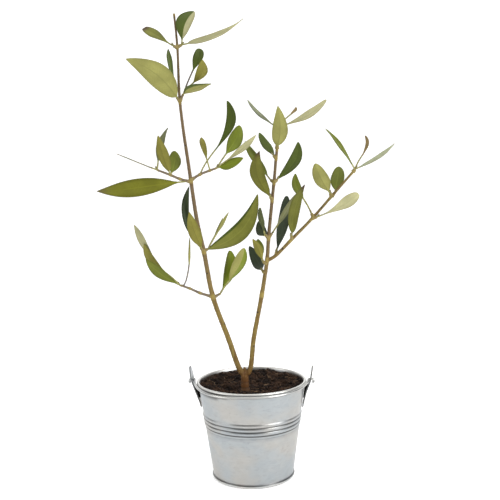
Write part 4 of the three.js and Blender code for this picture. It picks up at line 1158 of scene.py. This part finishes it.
# ---- settings
def screen_colour(name, description, default):
    """A setting for a colour whose numbers run from 0 to 255."""
    return FloatVectorProperty(
        name=name, description=description + ", from 0 to 255", size=3, min=0, max=255, default=default)


class OlivePailSettings(bpy.types.PropertyGroup):
    """Looks of the pail, its ears and its wire."""
    warm: screen_colour("Warm Zinc", "Warm part of the sheet's clouds", (169, 167, 163))
    cool: screen_colour("Cool Zinc", "Cool part of the sheet's clouds", (161, 166, 169))
    # This colour is the painted shade laid in the zinc's creases, under its roll, under the wire and on the
    # ears.
    grime: screen_colour("Painted Shade", "Dark oxide in the creases", (44, 41, 38))
    spangle: FloatProperty(
        name="Spangle", description="Zinc crystals to a metre", default=260.0, min=20.0, max=2000.0)
    roughness: FloatProperty(
        name="Roughness", description="Least roughness of the sheet", default=0.30, min=0.0, max=1.0,
        subtype="FACTOR")


class OlivePlantSettings(bpy.types.PropertyGroup):
    """Sizes and colours of the plant and its soil."""
    leaf_thickness: FloatProperty(
        name="Leaf Thickness", description="Thickness of a blade beside its midrib, in millimetres",
        default=0.36, min=0.1, max=1.0)
    foot_bark: screen_colour("Foot Bark", "Bark of the trunk below the fork", (100, 62, 22))
    lower_bark: screen_colour("Lower Bark", "Bark above the fork", (128, 108, 50))
    upper_bark: screen_colour("Upper Bark", "Bark of the young tips", (110, 91, 64))
    bough_bark: screen_colour("Bough Bark", "Bark of the side bough", (122, 104, 56))
    node_bark: screen_colour("Node Bark", "Swollen leaf nodes", (154, 136, 70))
    crumbs: IntProperty(
        name="Crumbs", description="Lumps of soil on the surface", default=1500, min=0, max=4000)
    fibres: IntProperty(
        name="Fibres", description="Roots and straws on the soil", default=110, min=0, max=1000)


class OliveStageSettings(bpy.types.PropertyGroup):
    """Camera, light and floor."""
    distance: FloatProperty(
        name="Camera Distance", description="Camera's distance in front of the pail's middle",
        default=0.4394, unit="LENGTH")
    height: FloatProperty(
        name="Camera Height", description="Camera's height above the floor", default=0.1757, unit="LENGTH")
    lens: FloatProperty(name="Lens", description="Focal length in millimetres", default=51.7)
    key: FloatProperty(
        name="Key Light", description="Power of the large soft light", default=5.0, unit="POWER")
    sky: FloatProperty(
        name="Surroundings", description="Strength of the even light all round", default=0.22)
    glow: FloatProperty(
        name="Floor Glow", description="Light that the floor gives of itself", default=0.5)


# ---- operators
class OLIVE_OT_pail(bpy.types.Operator):
    """Turn the pail's profile into its sheet-metal body"""
    bl_idname = "olive.pail"
    bl_label = "Pail"

    def execute(self, context):
        settings = context.scene.olive_pail
        sheet = zinc_finish("zinc_sheet", settings, settings.roughness)
        wall = pail_surface()
        grime, polish = pail_painted_light(wall)
        body = shell(wall, grime=grime, polish=polish)
        place(mesh_piece("pail_sheet", [body], [sheet]), "planter", "zinc", "pail")
        return {"FINISHED"}


class OLIVE_OT_ears(bpy.types.Operator):
    """Make the two leaning ears with their rivets and pivot holes"""
    bl_idname = "olive.ears"
    bl_label = "Ears"

    def execute(self, context):
        settings = context.scene.olive_pail
        # The ears' zinc is painted 1.25 times lighter: painted light that makes up for the dark things their
        # metal reflects.
        finish = zinc_finish("zinc_ear", settings, settings.roughness - 0.04, 1.25)
        z = EAR["rivet_height"]
        lean = unit(np.array([1.0, 0, -0.15]))
        for side, half_turn in (("right", 0.0), ("left", math.pi)):
            stand = lambda points: turned(on_pail(points), (0, 0, 1), half_turn)
            strap, grime = ear_surface(side)
            head = dome((ear_radial(side, z) + EAR["thickness"], 0, z), lean, EAR["rivet"], 0.45)
            parts = [sheet(stand(strap), loop=True, grime=grime, polish=0),
                     # The web is painted shade: a dark plate in the gap between the strap and the wall.
                     shell(stand(web_surface(side)), grime=1, polish=0),
                     shell(stand(head), grime=0, polish=0.3)]
            place(mesh_piece(f"ear_{side}_strap", parts, [finish]), "planter", "zinc", "ear_" + side)
        return {"FINISHED"}


class OLIVE_OT_bail(bpy.types.Operator):
    """Bend the wire handle that hangs down at the front"""
    bl_idname = "olive.bail"
    bl_label = "Bail"

    def execute(self, context):
        settings = context.scene.olive_pail
        finish = zinc_finish("zinc_wire", settings, settings.roughness - 0.1)
        wire, grime = wire_surface(bail_line(360), BAIL["wire"], 20)
        body = shell(wire, grime=grime, polish=0.5)
        place(mesh_piece("bail_wire", [body], [finish]), "bail", "zinc", "bail")
        return {"FINISHED"}


class OLIVE_OT_soil(bpy.types.Operator):
    """Fill the pail with soil and strew crumbs and fibres over it"""
    bl_idname = "olive.soil"
    bl_label = "Soil"

    def execute(self, context):
        settings = context.scene.olive_plant
        crumb = soil_finish()
        fibre = two_tone_finish("soil_fibre", "root", "straw", 0.9, 400.0, 0.4, 0.65)
        place(mesh_piece("soil_bed", [shell(soil_surface())], [crumb]), "planter", "soil", "soil")
        lumps = crumbs(settings.crumbs, seed=7, size=(0.3, 1.3), reach=30.6)
        place(mesh_piece("soil_crumbs", lumps, [crumb], smooth=False), "planter", "soil")
        place(mesh_piece("soil_fibres", fibres(settings.fibres, seed=9), [fibre]), "planter", "soil")
        return {"FINISHED"}


class OLIVE_OT_limbs(bpy.types.Operator):
    """Grow the trunk, the two stems and the side bough"""
    bl_idname = "olive.limbs"
    bl_label = "Trunk and Limbs"

    def execute(self, context):
        s = context.scene.olive_plant
        bark = bark_finish("bark", s.foot_bark, s.lower_bark, s.upper_bark, s.node_bark)
        bough = bark_finish("bark_bough", s.foot_bark, s.lower_bark, s.bough_bark, s.node_bark)
        trunk = mesh_piece("trunk_bark", trunk_parts(), [bark])
        weld_and_carve(trunk, voxel=0.22)
        place(trunk, "planter", "bark", "trunk")
        in_arm = TRUNK["arm"] - 1.2   # the stems start this far along, inside the trunk's arms
        for name, start, finish in (
                ("stem_left", in_arm, bark), ("stem_right", in_arm, bark), ("side_bough", 0, bough)):
            place(mesh_piece(name + "_bark", [limb_surface(name, start)], [finish]), "planter", "bark", name)
        return {"FINISHED"}


class OLIVE_OT_twigs(bpy.types.Operator):
    """Grow each spray's stem from its limb, with its buds"""
    bl_idname = "olive.twigs"
    bl_label = "Twigs and Buds"

    def execute(self, context):
        twig, bud = twig_finish(), bud_finish()
        for limb in LIMBS:
            sprays = sprays_on(limb)
            stems = [twig_surface(spray_joints(spray)) for _, spray, _ in sprays]
            place(mesh_piece("twigs_" + limb, stems, [twig]), "planter", "foliage")
            buds = [part for _, spray, seed in sprays for part in spray_buds(spray, seed)]
            place(mesh_piece("buds_" + limb, buds, [bud]), "planter", "foliage")
        return {"FINISHED"}


class OLIVE_OT_leaves(bpy.types.Operator):
    """Grow the leaves of every spray, joined limb by limb"""
    bl_idname = "olive.leaves"
    bl_label = "Leaves"

    def execute(self, context):
        thickness = context.scene.olive_plant.leaf_thickness
        finishes = {name: leaf_finish(name, *tint) for name, tint in TINTS.items()}
        for name in ("stalk", "dusk"):
            finishes[name] = two_tone_finish("leaf_" + name, name, name + "_light", 0.5, 900.0, 0.35, 0.65)
        slots = {name: i for i, name in enumerate(finishes)}
        for limb in LIMBS:
            leaves = []
            for _, spray, seed in sprays_on(limb):
                joints = spray_joints(spray)
                leaves += [leaf_surface(at_joint(joints, row[0]), row, seed + 7 * k, slots, thickness)
                           for k, row in enumerate(spray[3])]
            nodes = ["foliage_" + name for name, _, _ in sprays_on(limb)]
            place(mesh_piece("leaves_" + limb, leaves, finishes.values()), "planter", "foliage", *nodes)
        return {"FINISHED"}


def set_up(name, data, right, up, back, where):
    """Links a camera or lamp that looks against back, with its own axes and place as its matrix's columns."""
    thing = bpy.data.objects.new(name, data)
    matrix = Matrix.Identity(4)
    for i, column in enumerate((right, up, back, where)):
        matrix.col[i][:3] = column
    thing.matrix_world = matrix
    bpy.context.scene.collection.objects.link(thing)
    return thing


def floor_sweep():
    """Level floor that turns up behind the pail by a quarter circle and ends in a wall."""
    a = np.radians(np.arange(10, 91, 10))
    level = np.linspace(FLOOR["front"], FLOOR["bend"], 12)
    back = FLOOR["bend"] + FLOOR["radius"]
    depth = np.concatenate([level, FLOOR["bend"] + FLOOR["radius"] * np.sin(a), [back]])
    lift = np.concatenate([0 * level, FLOOR["radius"] * (1 - np.cos(a)), [FLOOR["top"]]])
    x = np.linspace(-FLOOR["half_width"], FLOOR["half_width"], 12)
    return sheet(points_of(x, depth[:, None], lift[:, None]))


class OLIVE_OT_stage(bpy.types.Operator):
    """Set the camera, the soft lights and the pale floor"""
    bl_idname = "olive.stage"
    bl_label = "Stage"

    def execute(self, context):
        scene, s = context.scene, context.scene.olive_stage
        pitch, yaw, roll = np.radians([CAMERA["pitch"], CAMERA["yaw"], CAMERA["roll"]])
        ahead = np.array([math.sin(yaw) * math.cos(pitch), math.cos(yaw) * math.cos(pitch), -math.sin(pitch)])
        level = np.array([math.cos(yaw), -math.sin(yaw), 0])
        above = np.cross(level, ahead)
        right = math.cos(roll) * level + math.sin(roll) * above
        up = math.cos(roll) * above - math.sin(roll) * level
        data = bpy.data.cameras.new("camera")
        data.lens, data.sensor_width, data.clip_start = s.lens, CAMERA["sensor"], CAMERA["clip"]
        scene.camera = set_up("camera", data, right, up, -ahead, (CAMERA["x"], -s.distance, s.height))

        world = bpy.data.worlds.new("surroundings")
        world.use_nodes = True
        world.node_tree.nodes["Background"].inputs["Color"].default_value = (1, 1, 1, 1)
        world.node_tree.nodes["Background"].inputs["Strength"].default_value = s.sky
        scene.world = world
        scene.view_settings.view_transform = "Standard"

        for name, (where, size, share) in LAMPS.items():
            light = bpy.data.lights.new(name, "AREA")
            light.shape, light.energy = "RECTANGLE", s.key * share
            light.size, light.size_y = size
            back = unit(np.array(where) - [0, 0, LAMP_AIM])
            across = unit(np.cross([0, 1, 0] if abs(back[2]) > 0.9 else [0, 0, 1], back))
            set_up(name, light, across, np.cross(back, across), back, where)

        f = Finish("pale_floor", Roughness=0.9, Emission_Color=(1, 1, 1, 1), Emission_Strength=s.glow)
        clouds = f.noise(6.0, 2.0)
        paper = f.feed(Base_Color=f.mix((0.86, 0.86, 0.86, 1), (0.9, 0.9, 0.9, 1), clouds))
        mesh_piece("floor", [floor_sweep()], [paper])
        return {"FINISHED"}


class OLIVE_PT_panel(bpy.types.Panel):
    """Lists the sizes, the colours and the steps of the potted olive"""
    bl_idname = "OLIVE_PT_panel"
    bl_label = "Potted Olive"
    bl_space_type = "VIEW_3D"
    bl_region_type = "UI"
    bl_category = "Olive"

    def draw(self, context):
        for group in ("olive_pail", "olive_plant", "olive_stage"):
            box = self.layout.box()
            settings = getattr(context.scene, group)
            for key in settings.__annotations__:
                box.prop(settings, key)
        for operator in OPERATORS:
            self.layout.operator(operator.bl_idname)


OPERATORS = (
    OLIVE_OT_pail, OLIVE_OT_ears, OLIVE_OT_bail, OLIVE_OT_soil, OLIVE_OT_limbs, OLIVE_OT_twigs,
    OLIVE_OT_leaves, OLIVE_OT_stage)
GROUPS = {
    "olive_pail": OlivePailSettings, "olive_plant": OlivePlantSettings, "olive_stage": OliveStageSettings}


def register():
    """Registers the classes and hangs the settings on the scene."""
    for cls in (*GROUPS.values(), *OPERATORS, OLIVE_PT_panel):
        bpy.utils.register_class(cls)
    for name, group in GROUPS.items():
        setattr(bpy.types.Scene, name, PointerProperty(type=group))


def unregister():
    """Takes the settings and the classes away again."""
    for name in GROUPS:
        delattr(bpy.types.Scene, name)
    for cls in reversed((*GROUPS.values(), *OPERATORS, OLIVE_PT_panel)):
        bpy.utils.unregister_class(cls)


def main():
    """Registers the add-on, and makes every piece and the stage."""
    register()
    for operator in OPERATORS:
        group, name = operator.bl_idname.split(".")
        getattr(getattr(bpy.ops, group), name)()


if __name__ == "__main__":
    main()
